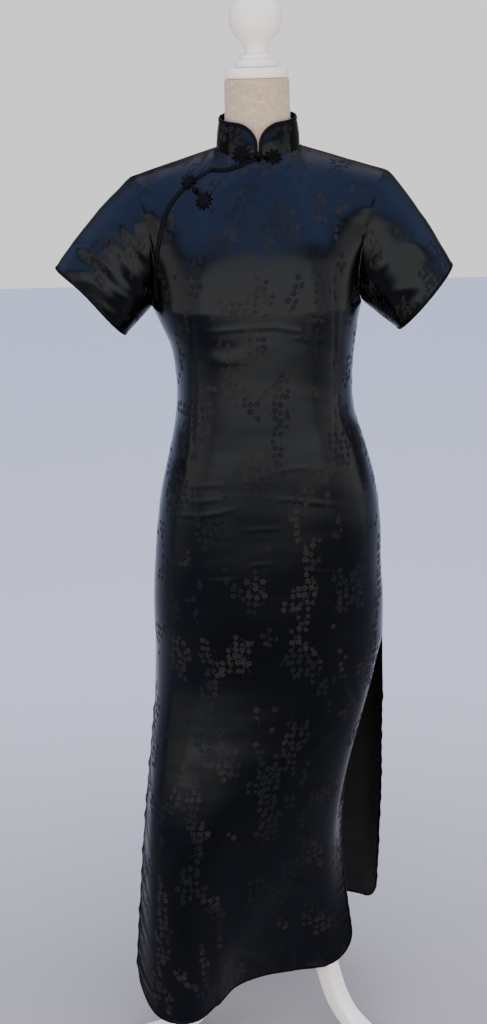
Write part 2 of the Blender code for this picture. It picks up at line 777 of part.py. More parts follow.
def make_knot(name, centre, out):
    out, right, up = plate_frame(out)
    centre = Vector(centre)
    ways = [right, -right, up, -up, right + up, up - right, right - up, -right - up]
    near = [centre] + [centre + way * KNOT_RADIUS * 0.7 for way in ways]
    reach = max(height_over_cloth(place, out) for place in near)
    middle = centre + out * (reach + KNOT_RADIUS + PLATE_CLEARANCE)
    for _ in range(3):
        middle -= out * (TOP_LAYER.find_nearest(middle)[3] - KNOT_RADIUS - SEAT_GAP)
    bpy.ops.mesh.primitive_uv_sphere_add(segments=16, ring_count=10, radius=KNOT_RADIUS,
                                         location=middle)
    knot = bpy.context.object
    knot.name = name
    knot.data.name = name
    knot.data.materials.append(CORD)
    knot.data.shade_smooth()
    for home in list(knot.users_collection):
        home.objects.unlink(knot)
    PARTS.objects.link(knot)


make_plate("frog_neck_left", (-0.0235, -0.055, 1.4925), (-0.30, -0.90, 0.30),
           0.0175, 0.0130, 6, 0.3)
make_plate("frog_neck_right", (0.0215, -0.055, 1.4880), (0.30, -0.90, 0.30),
           0.0150, 0.0110, 5, 0.0)
make_knot("knot_neck", (0.0005, -0.058, 1.4905), NECK_FACING)
make_plate("frog_chest_left", *resting_place(-0.1035, 1.4560), 0.0120, 0.0120, 5, 0.6)
make_plate("frog_chest_right", *resting_place(-0.0800, 1.4300), 0.0135, 0.0135, 6, 0.2)
make_knot("knot_chest", *resting_place(-0.0925, 1.4435))


# Dress form: the dress's own shape moved inward, with rounded arm ends

FORM_ROWS = [z for z in TRUNK_ROWS if z > FORM_BOTTOM_Z - 0.001]
FORM_YOKE = [0.0, 0.12, 0.24, 0.37, 0.50, 0.62, 0.74, 0.84, 0.93, 1.0]


def form_grid(side):
    spots = [-1 + 2 * j / FRONT_CELLS for j in range(FRONT_CELLS + 1)]
    rows = [[trunk_point(side, s, z) for s in spots] for z in FORM_ROWS]
    rows += [[yoke_point(side, s, f) for s in spots] for f in FORM_YOKE]
    points = grid(rows)
    out = grid_normals(points) * (1 if side < 0 else -1)
    return points, out


form_front, form_front_out = form_grid(-1)
form_back, form_back_out = form_grid(1)
for column in (0, -1):
    share_normals((form_front_out, (slice(None), column)),
                  (form_back_out, (slice(None), column)))
share_normals((form_front_out, (-1,)), (form_back_out, (-1,)))
top_out = unit(form_front_out[-1] + unit(form_front[-1] * np.array([1, 1, 0])))
neck_columns = slice(FRONT_CELLS // 4, FRONT_CELLS * 3 // 4 + 1)


def form_clearance(row, column):
    gap = FORM_CLEARANCE
    share = 0.0
    if row >= len(FORM_ROWS):
        share = FORM_YOKE[row - len(FORM_ROWS)]
    rest = max(share - 0.5, 0.0) / 0.5
    spread = abs(2 * column / FRONT_CELLS - 1)
    nearest = SHOULDER_CLEARANCE if spread > NECK_SHARE + 0.01 else NECK_CLEARANCE
    gap += (nearest - gap) * rest ** 1.5
    if spread > 0.99 and row >= len(FORM_ROWS):
        gap += ARMHOLE_EXTRA
    return gap + CLOTH


clear = np.array([[form_clearance(i, j) for j in range(FRONT_CELLS + 1)]
                  for i in range(len(form_front))])[..., None]
form_front = form_front - form_front_out * clear
form_back = form_back - form_back_out * clear
for j in range(FRONT_CELLS + 1):
    if FRONT_CELLS // 4 < j < FRONT_CELLS * 3 // 4:
        for points in (form_front, form_back):
            base = points[-1, j]
            base[:2] *= 1 - NECK_SET_IN / np.linalg.norm(base[:2])
    else:
        shared = (form_front[-1, j] + form_back[-1, j]) / 2
        form_front[-1, j] = shared
        form_back[-1, j] = shared

verts, faces = [], []
rows, cols = form_front.shape[:2]
front_id = np.arange(rows * cols).reshape(rows, cols)
verts += [tuple(p) for p in form_front.reshape(-1, 3)]
back_id = np.zeros((rows, cols), dtype=int)
for i in range(rows):
    for j in range(cols):
        on_side = j in (0, cols - 1) and i < len(FORM_ROWS) + 1
        on_shoulder = i == rows - 1 and not FRONT_CELLS // 4 < j < FRONT_CELLS * 3 // 4
        if on_side or on_shoulder:
            back_id[i, j] = front_id[i, j]
        else:
            back_id[i, j] = len(verts)
            verts.append(tuple(form_back[i, j]))
for ids in (front_id, back_id):
    for i in range(rows - 1):
        for j in range(cols - 1):
            faces.append((ids[i, j], ids[i, j + 1], ids[i + 1, j + 1], ids[i + 1, j]))

# Bottom face
faces.append(tuple(front_id[0]) + tuple(back_id[0, -2:0:-1]))

# Rounded ends at the armholes
arm_start = len(FORM_ROWS)
for column, hand in ((0, -1), (cols - 1, 1)):
    ring = list(front_id[arm_start:, column]) + list(back_id[arm_start + 1:-1, column][::-1])
    middle = np.mean([verts[i] for i in ring], axis=0)
    last = ring
    for scale, bulge in ((0.72, 0.008), (0.38, 0.012)):
        line = []
        for i in ring:
            line.append(len(verts))
            verts.append(tuple(middle + (np.array(verts[i]) - middle) * scale
                               + np.array([hand * bulge, 0, 0])))
        for k in range(len(ring)):
            n = (k + 1) % len(ring)
            faces.append((last[k], last[n], line[n], line[k]))
        last = line
    tip = len(verts)
    verts.append(tuple(middle + np.array([hand * 0.0135, 0, 0])))
    for k in range(len(ring)):
        faces.append((last[k], last[(k + 1) % len(ring)], tip))

# Neck column
quarter, three_quarters = FRONT_CELLS // 4, FRONT_CELLS * 3 // 4
neck_ring = list(front_id[-1, quarter:three_quarters + 1])
neck_ring += list(back_id[-1, quarter + 1:three_quarters][::-1])
last = neck_ring
for radius, height in ((0.0495, 1.526), (0.0476, 1.545), (NECK_RADIUS, NECK_TOP_Z)):
    line = []
    for k in range(len(neck_ring)):
        turn = 2 * math.pi * k / len(neck_ring) - math.pi / 2
        line.append(len(verts))
        verts.append((radius * math.sin(turn), -radius * math.cos(turn), height))
    for k in range(len(neck_ring)):
        n = (k + 1) % len(neck_ring)
        faces.append((last[k], last[n], line[n], line[k]))
    last = line
faces.append(tuple(last))
make_object("form_torso", verts, faces, LINEN)

# Neck cap, finial, pole and hub
cap_bottom = NECK_TOP_Z + SEAM_GAP
cap_top = cap_bottom + CAP_THICKNESS
make_turned("neck_cap", [
    (0, cap_top), (NECK_RADIUS - 0.002, cap_top), (NECK_RADIUS, cap_top - 0.002),
    (NECK_RADIUS, cap_bottom), (0, cap_bottom),
], PAINT)

finial_bottom = cap_top + SEAM_GAP
ball_middle = finial_bottom + FINIAL_HEIGHT - BALL_RADIUS
ball = [(BALL_RADIUS * math.sin(math.radians(a)), ball_middle + BALL_RADIUS * math.cos(math.radians(a)))
        for a in range(0, 151, 15)]
make_turned("finial", ball + [
    (0.017, ball_middle - 0.040), (0.017, finial_bottom + 0.021),
    (0.024, finial_bottom + 0.018), (0.024, finial_bottom + 0.012),
    (0.032, finial_bottom + 0.009), (0.032, finial_bottom), (0, finial_bottom),
], PAINT)

make_turned("pole", [
    (0, FORM_BOTTOM_Z - SEAM_GAP), (POLE_RADIUS, FORM_BOTTOM_Z - SEAM_GAP),
    (POLE_RADIUS, HUB_TOP_Z + SEAM_GAP), (0, HUB_TOP_Z + SEAM_GAP),
], PAINT, steps=20)
make_turned("hub", [
    (0, HUB_TOP_Z), (HUB_RADIUS * 0.75, HUB_TOP_Z), (HUB_RADIUS * 0.9, HUB_TOP_Z - 0.012),
    (HUB_RADIUS, HUB_TOP_Z - 0.030), (HUB_RADIUS, HUB_BOTTOM_Z + 0.020),
    (HUB_RADIUS * 0.6, HUB_BOTTOM_Z), (0, HUB_BOTTOM_Z),
], PAINT, steps=24)

# Legs: out from the hub, down in a curve and out again to a flat foot
LEG_PATH = [
    # distance from the axis, height of the middle, thickness, slope in degrees
    (0.0303, 0.262, 0.042, -10),
    (0.0520, 0.252, 0.038, -34),
    (0.0720, 0.225, 0.034, -60),
    (0.0860, 0.190, 0.032, -70),
    (0.1000, 0.150, 0.031, -73),
    (0.1130, 0.108, 0.031, -71),
    (0.1290, 0.068, 0.031, -60),
    (0.1540, 0.036, 0.030, -38),
    (0.1900, 0.016, 0.030, -8),
    (0.2100, 0.014, 0.028, 0),
    (0.2480, 0.014, 0.028, 0),
    (0.2570, 0.012, 0.022, 0),
]
LEG_CHAMFER = 0.004


def leg_section(thickness, width):
    t, w, c = thickness / 2, width / 2, LEG_CHAMFER
    return [(-w + c, -t), (w - c, -t), (w, -t + c), (w, t - c),
            (w - c, t), (-w + c, t), (-w, t - c), (-w, -t + c)]


for name, direction in LEG_DIRECTIONS.items():
    angle = math.radians(direction)
    outward_way = Vector((math.sin(angle), -math.cos(angle), 0))
    side_way = Vector((math.cos(angle), math.sin(angle), 0))
    verts, faces = [], []
    for n, (reach, height, thickness, slope) in enumerate(LEG_PATH):
        tilt = math.radians(slope if n else 0)
        up_way = outward_way * -math.sin(tilt) + Vector((0, 0, math.cos(tilt)))
        width = LEG_WIDTH - 0.008 * n / (len(LEG_PATH) - 1)
        for a, b in leg_section(thickness, width):
            verts.append(outward_way * reach + Vector((0, 0, height)) + side_way * a + up_way * b)
    for n in range(len(LEG_PATH) - 1):
        for k in range(8):
            m = (k + 1) % 8
            faces.append((n * 8 + k, n * 8 + m, n * 8 + 8 + m, n * 8 + 8 + k))
    faces.append(tuple(range(8)))
    faces.append(tuple(range(len(verts) - 8, len(verts))))
    make_object("leg_" + name, verts, faces, PAINT)

# The origin is the middle of the whole object's box, on the floor
bpy.context.view_layer.update()
corners = [o.matrix_world @ Vector(c) for o in PARTS.objects for c in o.bound_box]
middle_x = (min(c.x for c in corners) + max(c.x for c in corners)) / 2
middle_y = (min(c.y for c in corners) + max(c.y for c in corners)) / 2
for obj in PARTS.objects:
    obj.location -= Vector((middle_x, middle_y, 0))
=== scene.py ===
import math

import bmesh
import bpy
import numpy as np
from mathutils import Matrix, Vector
from mathutils.bvhtree import BVHTree


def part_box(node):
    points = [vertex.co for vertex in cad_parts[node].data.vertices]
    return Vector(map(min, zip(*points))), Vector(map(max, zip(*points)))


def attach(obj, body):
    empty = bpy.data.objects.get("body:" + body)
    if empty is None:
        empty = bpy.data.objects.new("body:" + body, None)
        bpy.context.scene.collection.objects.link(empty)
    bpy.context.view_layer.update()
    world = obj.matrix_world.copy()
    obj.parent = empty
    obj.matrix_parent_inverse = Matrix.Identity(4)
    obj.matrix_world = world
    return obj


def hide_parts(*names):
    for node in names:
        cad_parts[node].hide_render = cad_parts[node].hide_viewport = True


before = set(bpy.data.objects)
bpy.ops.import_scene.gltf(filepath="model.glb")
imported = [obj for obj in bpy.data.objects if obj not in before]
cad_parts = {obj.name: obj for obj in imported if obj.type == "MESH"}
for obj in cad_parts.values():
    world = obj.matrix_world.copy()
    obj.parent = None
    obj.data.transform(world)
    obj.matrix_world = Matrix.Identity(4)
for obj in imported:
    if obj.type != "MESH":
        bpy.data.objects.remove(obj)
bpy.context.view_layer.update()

# ---- The studio: a pale floor, a soft warm light overhead, a wide warm screen of
# light round the front, and a camera that looks down a little from head height.

AXIS = Vector((0.01148, -0.01620, 0.0))      # where the pole stands on the floor

camera = bpy.data.objects.new("camera", bpy.data.cameras.new("camera"))
bpy.context.scene.collection.objects.link(camera)
camera.data.lens = 49.2
camera.data.sensor_width = 36
turn_left, look_down, roll = 0.986, 17.5, -1.6
camera.matrix_world = (
    Matrix.Translation((0.01148, -2.1662, 1.61))
    @ Matrix.Rotation(math.radians(turn_left), 4, "Z")
    @ Matrix.Rotation(math.radians(90 - look_down), 4, "X")
    @ Matrix.Rotation(math.radians(roll), 4, "Z")
)
bpy.context.scene.camera = camera


def add_node(tree, kind, **values):
    """One node. Its settings have small names, its inputs have their own names or are
    i0, i1 and so on by their place, and a value that is a socket is linked."""
    node = tree.nodes.new(kind)
    for key, value in values.items():
        numbered = key[1:].isdigit()
        place = int(key[1:]) if numbered else key
        if key.islower() and not numbered:
            setattr(node, key, value)
        elif isinstance(value, bpy.types.NodeSocket):
            tree.links.new(value, node.inputs[place])
        else:
            node.inputs[place].default_value = value
    return node


def calc(tree, operation, a, b=0.0, c=0.0):
    """The result of one sum."""
    return add_node(tree, "ShaderNodeMath", operation=operation, i0=a, i1=b, i2=c).outputs[0]


def ramp(tree, value, low, high, start=0.0, end=1.0):
    """Runs smoothly from start to end while the value goes from low to high."""
    node = add_node(tree, "ShaderNodeMapRange", i0=value, i1=low, i2=high, i3=start, i4=end)
    node.interpolation_type = "SMOOTHSTEP"
    return node.outputs[0]


def blend_color(tree, share, first, second):
    """The first colour where the share is 0, and the second where it is 1."""
    node = add_node(tree, "ShaderNodeMix", data_type="RGBA", i0=share, i6=first, i7=second)
    return node.outputs[2]


def share_between(tree, value, *edges):
    """1 where the value lies between the two inner edges, 0 outside the outer two."""
    low, inner_low, inner_high, high = edges
    return calc(tree, "MULTIPLY", ramp(tree, value, low, inner_low),
                ramp(tree, value, inner_high, high, 1.0, 0.0))


# What surrounds the dress is mostly seen in the satin: a blue skylight high
# above the screen, and a plain pale backdrop behind.
world = bpy.data.worlds.new("studio")
bpy.context.scene.world = world
world.use_nodes = True
tree = world.node_tree
toward = add_node(tree, "ShaderNodeTexCoord").outputs["Generated"]
heading = add_node(tree, "ShaderNodeSeparateXYZ", Vector=toward)
DEGREES = 57.2958                            # degrees in a radian
azimuth = calc(tree, "ARCTAN2", heading.outputs[0], calc(tree, "MULTIPLY", heading.outputs[1], -1.0))
azimuth = calc(tree, "MULTIPLY", azimuth, DEGREES)
elevation = calc(tree, "MULTIPLY", calc(tree, "ARCSINE", heading.outputs[2]), DEGREES)
ahead = calc(tree, "MAXIMUM", share_between(tree, azimuth, -150, -75, 70, 150),
             ramp(tree, elevation, 46.0, 62.0, 0.0, 0.8))
sky = calc(tree, "MULTIPLY", ramp(tree, elevation, 15.2, 18.6), ahead)
behind = ramp(tree, calc(tree, "ABSOLUTE", azimuth), 150.0, 167.0)
backdrop = calc(tree, "MULTIPLY", behind, ramp(tree, elevation, 12.0, 26.0, 1.0, 0.15))
tone = blend_color(tree, backdrop, (0.16, 0.16, 0.16, 1), (1.10, 1.10, 1.10, 1))
tone = blend_color(tree, sky, tone, (1.50, 1.85, 3.30, 1))
tree.links.new(tone, tree.nodes["Background"].inputs["Color"])
tree.nodes["Background"].inputs["Strength"].default_value = 1.0


def new_material(name, color, roughness):
    """A material with its own shader, and the node tree to build on."""
    material = bpy.data.materials.new(name)
    material.use_nodes = True
    shader = material.node_tree.nodes["Principled BSDF"]
    shader.inputs["Base Color"].default_value = (*color, 1)
    shader.inputs["Roughness"].default_value = roughness
    return material, material.node_tree, shader


# The floor is pale behind the dress, and a quieter warm grey where the skirt mirrors it.
floor_paint, tree, shader = new_material("floor", (0.45, 0.445, 0.44), 0.85)
shader.inputs["Specular IOR Level"].default_value = 0.1
where = add_node(tree, "ShaderNodeTexCoord").outputs["Object"]
spot = add_node(tree, "ShaderNodeSeparateXYZ", Vector=where)
far = ramp(tree, spot.outputs[1], -0.6, 1.6)
far_tone = blend_color(tree, far, (0.28, 0.26, 0.22, 1), (0.60, 0.555, 0.475, 1))
beyond = calc(tree, "MAXIMUM", ramp(tree, spot.outputs[1], -1.9, -0.3), ramp(tree, spot.outputs[0], -0.9, -1.7))
tree.links.new(blend_color(tree, beyond, (0.25, 0.205, 0.145, 1), far_tone), shader.inputs["Base Color"])
floor_mesh = bpy.data.meshes.new("floor")
REACH = 9
floor_mesh.from_pydata([(x * REACH, y * REACH, 0) for x, y in ((-1, -1), (1, -1), (1, 1), (-1, 1))], [],
                       [(0, 1, 2, 3)])
floor = bpy.data.objects.new("floor", floor_mesh)
bpy.context.scene.collection.objects.link(floor)
floor_mesh.materials.append(floor_paint)


def area_light(name, place, aim, width, height, watts, color):
    """A flat light that shines on the dress and doesn't show itself."""
    light = bpy.data.objects.new(name, bpy.data.lights.new(name, "AREA"))
    bpy.context.scene.collection.objects.link(light)
    light.data.shape = "RECTANGLE"
    light.data.size, light.data.size_y = width, height
    light.data.energy = watts
    light.data.color = color
    light.visible_camera = False
    light.location = place
    light.rotation_euler = (Vector(aim) - Vector(place)).to_track_quat("-Z", "Y").to_euler()


area_light("overhead", (0.3, 1.2, 4.6), (0.0, 0.3, 0.0), 4.0, 4.0, 45, (1.0, 0.74, 0.46))
# The screen of light stands round the front. It glows evenly down to hip height
# and fades out toward the floor, and its sides are dimmer.
SCREEN_GLOW = 2.9
SCREEN_BANDS = (
    # height of the band's lower and upper edge, and how much it glows
    (0.28, 0.40, 0.04), (0.40, 0.49, 0.13), (0.49, 0.61, 0.30), (0.61, 0.70, 0.50), (0.70, 0.77, 0.75),
    (0.77, 1.80, 1.0),
)
SCREEN_PARTS = (
    # part, where it stands, the y that it faces, width, brightness, steepness of its fading, colour
    ("front", (0.0, -1.65), 0.0, 4.0, 1.0, 1.0, (1.0, 0.84, 0.66)),
    ("left", (-2.15, -0.95), -0.95, 1.5, 0.65, 0.7, (1.0, 0.84, 0.66)),
    ("right", (2.15, -0.75), -0.75, 1.9, 0.60, 0.7, (1.0, 0.86, 0.70)),
)
for low, high, glow in SCREEN_BANDS:
    middle = (low + high) / 2
    for part, (x, y), facing_y, width, bright, fading, color in SCREEN_PARTS:
        watts = 4 * width * (high - low) * SCREEN_GLOW * bright * glow ** fading
        area_light("screen_%s_%d" % (part, round(low * 100)), (x, y, middle), (0.0, facing_y, middle),
                   width, high - low, watts, color)

# ---- The stand: turned and sawn wood under a thick off-white satin paint. The
# cap, finial, pole and hub come off a lathe, and the three legs are bent sections.


def fasten(piece, slot, *nodes):
    """The piece rides with the stand and stands for those solids."""
    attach(piece, "root")
    if nodes:
        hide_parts(*nodes)
    return piece


def finish_mesh(name, mesh, crisp_from):
    """Turns the faces outwards, shades them softly up to that angle, and shows the piece."""
    shape = bmesh.new()
    shape.from_mesh(mesh)
    bmesh.ops.recalc_face_normals(shape, faces=shape.faces)
    shape.to_mesh(mesh)
    shape.free()
    mesh.shade_smooth()
    mesh.set_sharp_from_angle(angle=math.radians(crisp_from))
    piece = bpy.data.objects.new(name, mesh)
    bpy.context.scene.collection.objects.link(piece)
    return piece


def loft(name, rings, material, closed=False):
    """A mesh through like rings of points, with its two ends closed."""
    rings = np.array(rings, dtype=float)
    rows, cols = rings.shape[:2]
    faces = []
    for i in range(rows if closed else rows - 1):
        n = (i + 1) % rows
        for k in range(cols):
            m = (k + 1) % cols
            faces.append((i * cols + k, i * cols + m, n * cols + m, n * cols + k))
    if not closed:
        faces.append(tuple(range(cols)))
        faces.append(tuple(range((rows - 1) * cols, rows * cols)))
    mesh = bpy.data.meshes.new(name)
    mesh.from_pydata([tuple(p) for p in rings.reshape(-1, 3)], [], faces)
    mesh.materials.append(material)
    return finish_mesh(name, mesh, 50)


def noise(tree, place, scale, detail, dimensions="3D"):
    """Uneven values round 0.5 that change over about 1 / scale metres."""
    return add_node(tree, "ShaderNodeTexNoise", noise_dimensions=dimensions, Vector=place, Scale=scale,
                    Detail=detail).outputs["Fac"]


def laid(tree, place, scale, turn=0.0):
    """The same places, stretched and turned for a pattern."""
    return add_node(tree, "ShaderNodeMapping", Vector=place, Rotation=(0, 0, turn), Scale=scale).outputs[0]


def emboss(tree, shader, height, strength, distance):
    """Fine relief in the surface."""
    relief = add_node(tree, "ShaderNodeBump", Strength=strength, Distance=distance, Height=height)
    tree.links.new(relief.outputs[0], shader.inputs["Normal"])


paint, tree, shader = new_material("white_paint", (0.82, 0.76, 0.62), 0.38)
where = add_node(tree, "ShaderNodeTexCoord").outputs["Object"]
grain = noise(tree, laid(tree, where, (1.0, 1.0, 0.16)), 260.0, 4.0)
patches = noise(tree, where, 16.0, 3.0)
edges = add_node(tree, "ShaderNodeNewGeometry").outputs["Pointiness"]
rubbed = calc(tree, "MULTIPLY", ramp(tree, edges, 0.53, 0.62), ramp(tree, grain, 0.45, 0.65))
aged = blend_color(tree, ramp(tree, patches, 0.35, 0.75, 0.0, 0.7),
                   (0.86, 0.80, 0.66, 1), (0.78, 0.70, 0.53, 1))
worn = blend_color(tree, calc(tree, "MULTIPLY", rubbed, 0.5), aged, (0.52, 0.43, 0.32, 1))
tree.links.new(worn, shader.inputs["Base Color"])
tree.links.new(ramp(tree, grain, 0.3, 0.7, 0.30, 0.48), shader.inputs["Roughness"])
emboss(tree, shader, grain, 0.35, 0.0004)


def turned(name, profile, steps=72):
    """A lathe-turned piece: the profile is radius and height, from the top down."""
    rings = []
    for radius, height in profile:
        ring = []
        for k in range(steps):
            angle = 2 * math.pi * k / steps
            ring.append((AXIS.x + radius * math.cos(angle), AXIS.y + radius * math.sin(angle), height))
        rings.append(ring)
    return loft(name, rings, paint)


CAP_LOW, CAP_HIGH = 1.5983, 1.6133
fasten(turned("neck_cap_turned", [
    (0.0440, CAP_HIGH), (0.0455, CAP_HIGH - 0.0004), (0.0466, CAP_HIGH - 0.0016), (0.0471, CAP_HIGH - 0.0035),
    (0.0471, CAP_HIGH - 0.0110), (0.0466, CAP_LOW + 0.0016), (0.0455, CAP_LOW + 0.0004), (0.0440, CAP_LOW),
]), "white_paint", "neck_cap")

FINIAL_LOW, BALL_RADIUS = 1.6136, 0.039
ball_middle = FINIAL_LOW + 0.108 - BALL_RADIUS
ball = [(BALL_RADIUS * math.sin(math.radians(a)), ball_middle + BALL_RADIUS * math.cos(math.radians(a)))
        for a in list(range(3, 145, 5))]
fasten(turned("finial_turned", ball + [
    (0.0205, ball_middle - 0.0348), (0.0185, ball_middle - 0.0375), (0.0172, ball_middle - 0.0410),
    (0.0170, ball_middle - 0.0440), (0.0176, FINIAL_LOW + 0.0205), (0.0190, FINIAL_LOW + 0.0193),
    (0.0225, FINIAL_LOW + 0.0186), (0.0238, FINIAL_LOW + 0.0176), (0.0244, FINIAL_LOW + 0.0160),
    (0.0244, FINIAL_LOW + 0.0140), (0.0238, FINIAL_LOW + 0.0124), (0.0250, FINIAL_LOW + 0.0116),
    (0.0295, FINIAL_LOW + 0.0108), (0.0316, FINIAL_LOW + 0.0092), (0.0324, FINIAL_LOW + 0.0066),
    (0.0324, FINIAL_LOW + 0.0030), (0.0316, FINIAL_LOW + 0.0008), (0.0308, FINIAL_LOW),
]), "white_paint", "finial")

fasten(turned("pole_turned", [
    (0.0150, 0.7997), (0.0160, 0.7987), (0.0160, 0.70), (0.0160, 0.50), (0.0160, 0.3263), (0.0150, 0.3253),
], 48), "white_paint", "pole")
fasten(turned("hub_turned", [
    (0.0200, 0.325), (0.0225, 0.3243), (0.0240, 0.3215), (0.0270, 0.3135), (0.0285, 0.3060), (0.0297, 0.2980),
    (0.0300, 0.2900), (0.0300, 0.2000), (0.0292, 0.1930), (0.0262, 0.1840), (0.0215, 0.1775), (0.0170, 0.175),
], 64), "white_paint", "hub")

LEG_PATH = np.array([
    # distance from the pole's axis, height, thickness and slope in degrees
    (0.0303, 0.262, 0.042, -10), (0.0520, 0.252, 0.038, -34), (0.0720, 0.225, 0.034, -60),
    (0.0860, 0.190, 0.032, -70), (0.1000, 0.150, 0.031, -73), (0.1130, 0.108, 0.031, -71),
    (0.1290, 0.068, 0.031, -60), (0.1540, 0.036, 0.030, -38), (0.1900, 0.0152, 0.030, -8),
    (0.2100, 0.014, 0.028, 0), (0.2480, 0.014, 0.028, 0), (0.2570, 0.014, 0.024, 0),
])
LEG_WIDTH, LEG_TAPER, LEG_CORNER, LEG_STATIONS = 0.037, 0.008, 0.006, 78


def along_table(table, at):
    """Rows read smoothly between the rows of a table, at fractions of its index."""
    count = len(table)
    index = np.arange(count, dtype=float)
    slopes = np.gradient(table, axis=0)
    i = np.clip(at.astype(int), 0, count - 2)
    f = (at - index[i])[:, None]
    return ((1 + 2 * f) * (1 - f) ** 2 * table[i] + f * (1 - f) ** 2 * slopes[i]
            + f * f * (3 - 2 * f) * table[i + 1] + f * f * (f - 1) * slopes[i + 1])


for side, direction in (("right", 54.0), ("left", -66.0), ("back", 174.0)):
    angle = math.radians(direction)
    outward = np.array([math.sin(angle), -math.cos(angle), 0])
    sideways = np.array([math.cos(angle), math.sin(angle), 0])
    rings = []
    stations = along_table(LEG_PATH, np.linspace(0, len(LEG_PATH) - 1, LEG_STATIONS))
    for n, (reach, height, thick, slope) in enumerate(stations):
        tilt = math.radians(slope if n else 0)
        up = outward * -math.sin(tilt) + np.array([0, 0, math.cos(tilt)])
        half_w = (LEG_WIDTH - LEG_TAPER * n / (LEG_STATIONS - 1)) / 2
        half_t = thick / 2
        ring = []
        for sx, sy, first in ((1, 1, 0), (-1, 1, 90), (-1, -1, 180), (1, -1, 270)):
            for a in (0, 30, 60, 90):
                t = math.radians(first + a)
                ring.append(outward * reach + np.array([AXIS.x, AXIS.y, height])
                            + sideways * (sx * (half_w - LEG_CORNER) + LEG_CORNER * math.cos(t))
                            + up * (sy * (half_t - LEG_CORNER) + LEG_CORNER * math.sin(t)))
        ring = np.array(ring)
        ring[:, 2] = np.maximum(ring[:, 2], 0.0)
        rings.append(ring)
    fasten(loft("leg_" + side + "_shaped", rings, paint), "white_paint", "leg_" + side)

# ---- The dress form: a firm torso under stretched natural linen. Its neck has
# its own linen cover of a front and a back piece, joined by two corded seams.

linen, tree, shader = new_material("linen", (0.42, 0.33, 0.23), 0.88)
shader.inputs["Sheen Weight"].default_value = 0.15
where = add_node(tree, "ShaderNodeTexCoord").outputs["Object"]
across = laid(tree, where, (0.25, 0.25, 1.0))
upward = laid(tree, where, (1.0, 1.0, 0.10))
weave = calc(tree, "MULTIPLY", noise(tree, across, 1500.0, 2.0), noise(tree, upward, 1300.0, 2.0))
slubs = noise(tree, across, 220.0, 3.0)
shade = blend_color(tree, ramp(tree, weave, 0.15, 0.35), (0.34, 0.25, 0.145, 1), (0.50, 0.385, 0.24, 1))
shade = blend_color(tree, ramp(tree, slubs, 0.55, 0.72, 0.0, 0.6), shade, (0.56, 0.46, 0.31, 1))
tree.links.new(shade, shader.inputs["Base Color"])
emboss(tree, shader, weave, 0.6, 0.0005)

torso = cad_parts["form_torso"]
for index in range(len(torso.data.materials)):
    torso.data.materials[index] = linen

NECK_STEPS, SEAM_ANGLE = 144, 63             # the neck's two seams, in degrees from its front
NECK_PROFILE = (
    # height and radius
    (1.5020, 0.0505), (1.5090, 0.0502), (1.5200, 0.0505), (1.5300, 0.0500), (1.5450, 0.0487), (1.5580, 0.0482),
    (1.5750, 0.0480), (1.5880, 0.0480), (1.5940, 0.0479), (1.5968, 0.0474), (1.5980, 0.0464),
)
rings = []
for height, radius in NECK_PROFILE:
    ring = []
    for k in range(NECK_STEPS):
        angle = 2 * math.pi * k / NECK_STEPS
        from_front = math.degrees(math.acos(max(-1, min(1, -math.cos(angle)))))
        from_seam = min(abs(from_front - SEAM_ANGLE), 30)
        flat = 1 - 0.035 * max(-math.cos(angle), 0) ** 6
        ridge = 0.0010 * math.exp(-(from_seam / 1.6) ** 2) - 0.0005 * math.exp(-((from_seam - 4) / 2.5) ** 2)
        r = radius * flat + ridge
        ring.append((AXIS.x + r * math.sin(angle), AXIS.y + r * math.cos(angle), height))
    rings.append(ring)
INSIDE = 0.975                               # the cover's inner radius as a share of its outer one
inside = [[(AXIS.x + (x - AXIS.x) * INSIDE, AXIS.y + (y - AXIS.y) * INSIDE, z) for x, y, z in ring]
          for ring in rings]
neck_cover = loft("neck_cover", rings + inside[::-1], linen, closed=True)
fasten(neck_cover, "linen")

# ---- The front of the dress: one piece of black satin with woven blossoms and a
# dull reverse. It is cut slanting from the neck to the right underarm, shaped by
# two darts, and left open at the sides from the hips down.

CLOTH = 0.0016
SLIT_TOP_Z = 0.722
UNDERARM_Z = 1.27
BACK_HEM_Z, HEM_LEFT_Z, HEM_RIGHT_Z, KNEE_Z = 0.122, 0.12, 0.155, 0.42
LEFT_CORNER, RIGHT_CORNER, HALF_PANEL = 0.09, 0.056, 0.218
BINDING_WIDTH = 0.006
SHOULDER_TIP, SIDE_NECK = np.array((0.195, 0.005, 1.462)), np.array((0.0625, 0.0, 1.503))
FRONT_NECK, BACK_NECK, NECK_SHARE = np.array((0.0, -0.061, 1.488)), np.array((0.0, 0.060, 1.518)), 0.5
TRUNK = np.array([
    # height, half width to the left and right, depth to the front and back
    (0.722, 0.188, 0.187, 0.1240, 0.126), (0.780, 0.188, 0.187, 0.1235, 0.129),
    (0.842, 0.184, 0.184, 0.1225, 0.132), (0.910, 0.177, 0.183, 0.1210, 0.132),
    (0.977, 0.167, 0.176, 0.1195, 0.124), (1.044, 0.150, 0.159, 0.1178, 0.110),
    (1.100, 0.139, 0.142, 0.1168, 0.099), (1.140, 0.136, 0.138, 0.1165, 0.094),
    (1.180, 0.138, 0.140, 0.1168, 0.092), (1.210, 0.143, 0.143, 0.1178, 0.092),
    (1.240, 0.155, 0.147, 0.1193, 0.094), (1.270, 0.168, 0.153, 0.1210, 0.097),
])
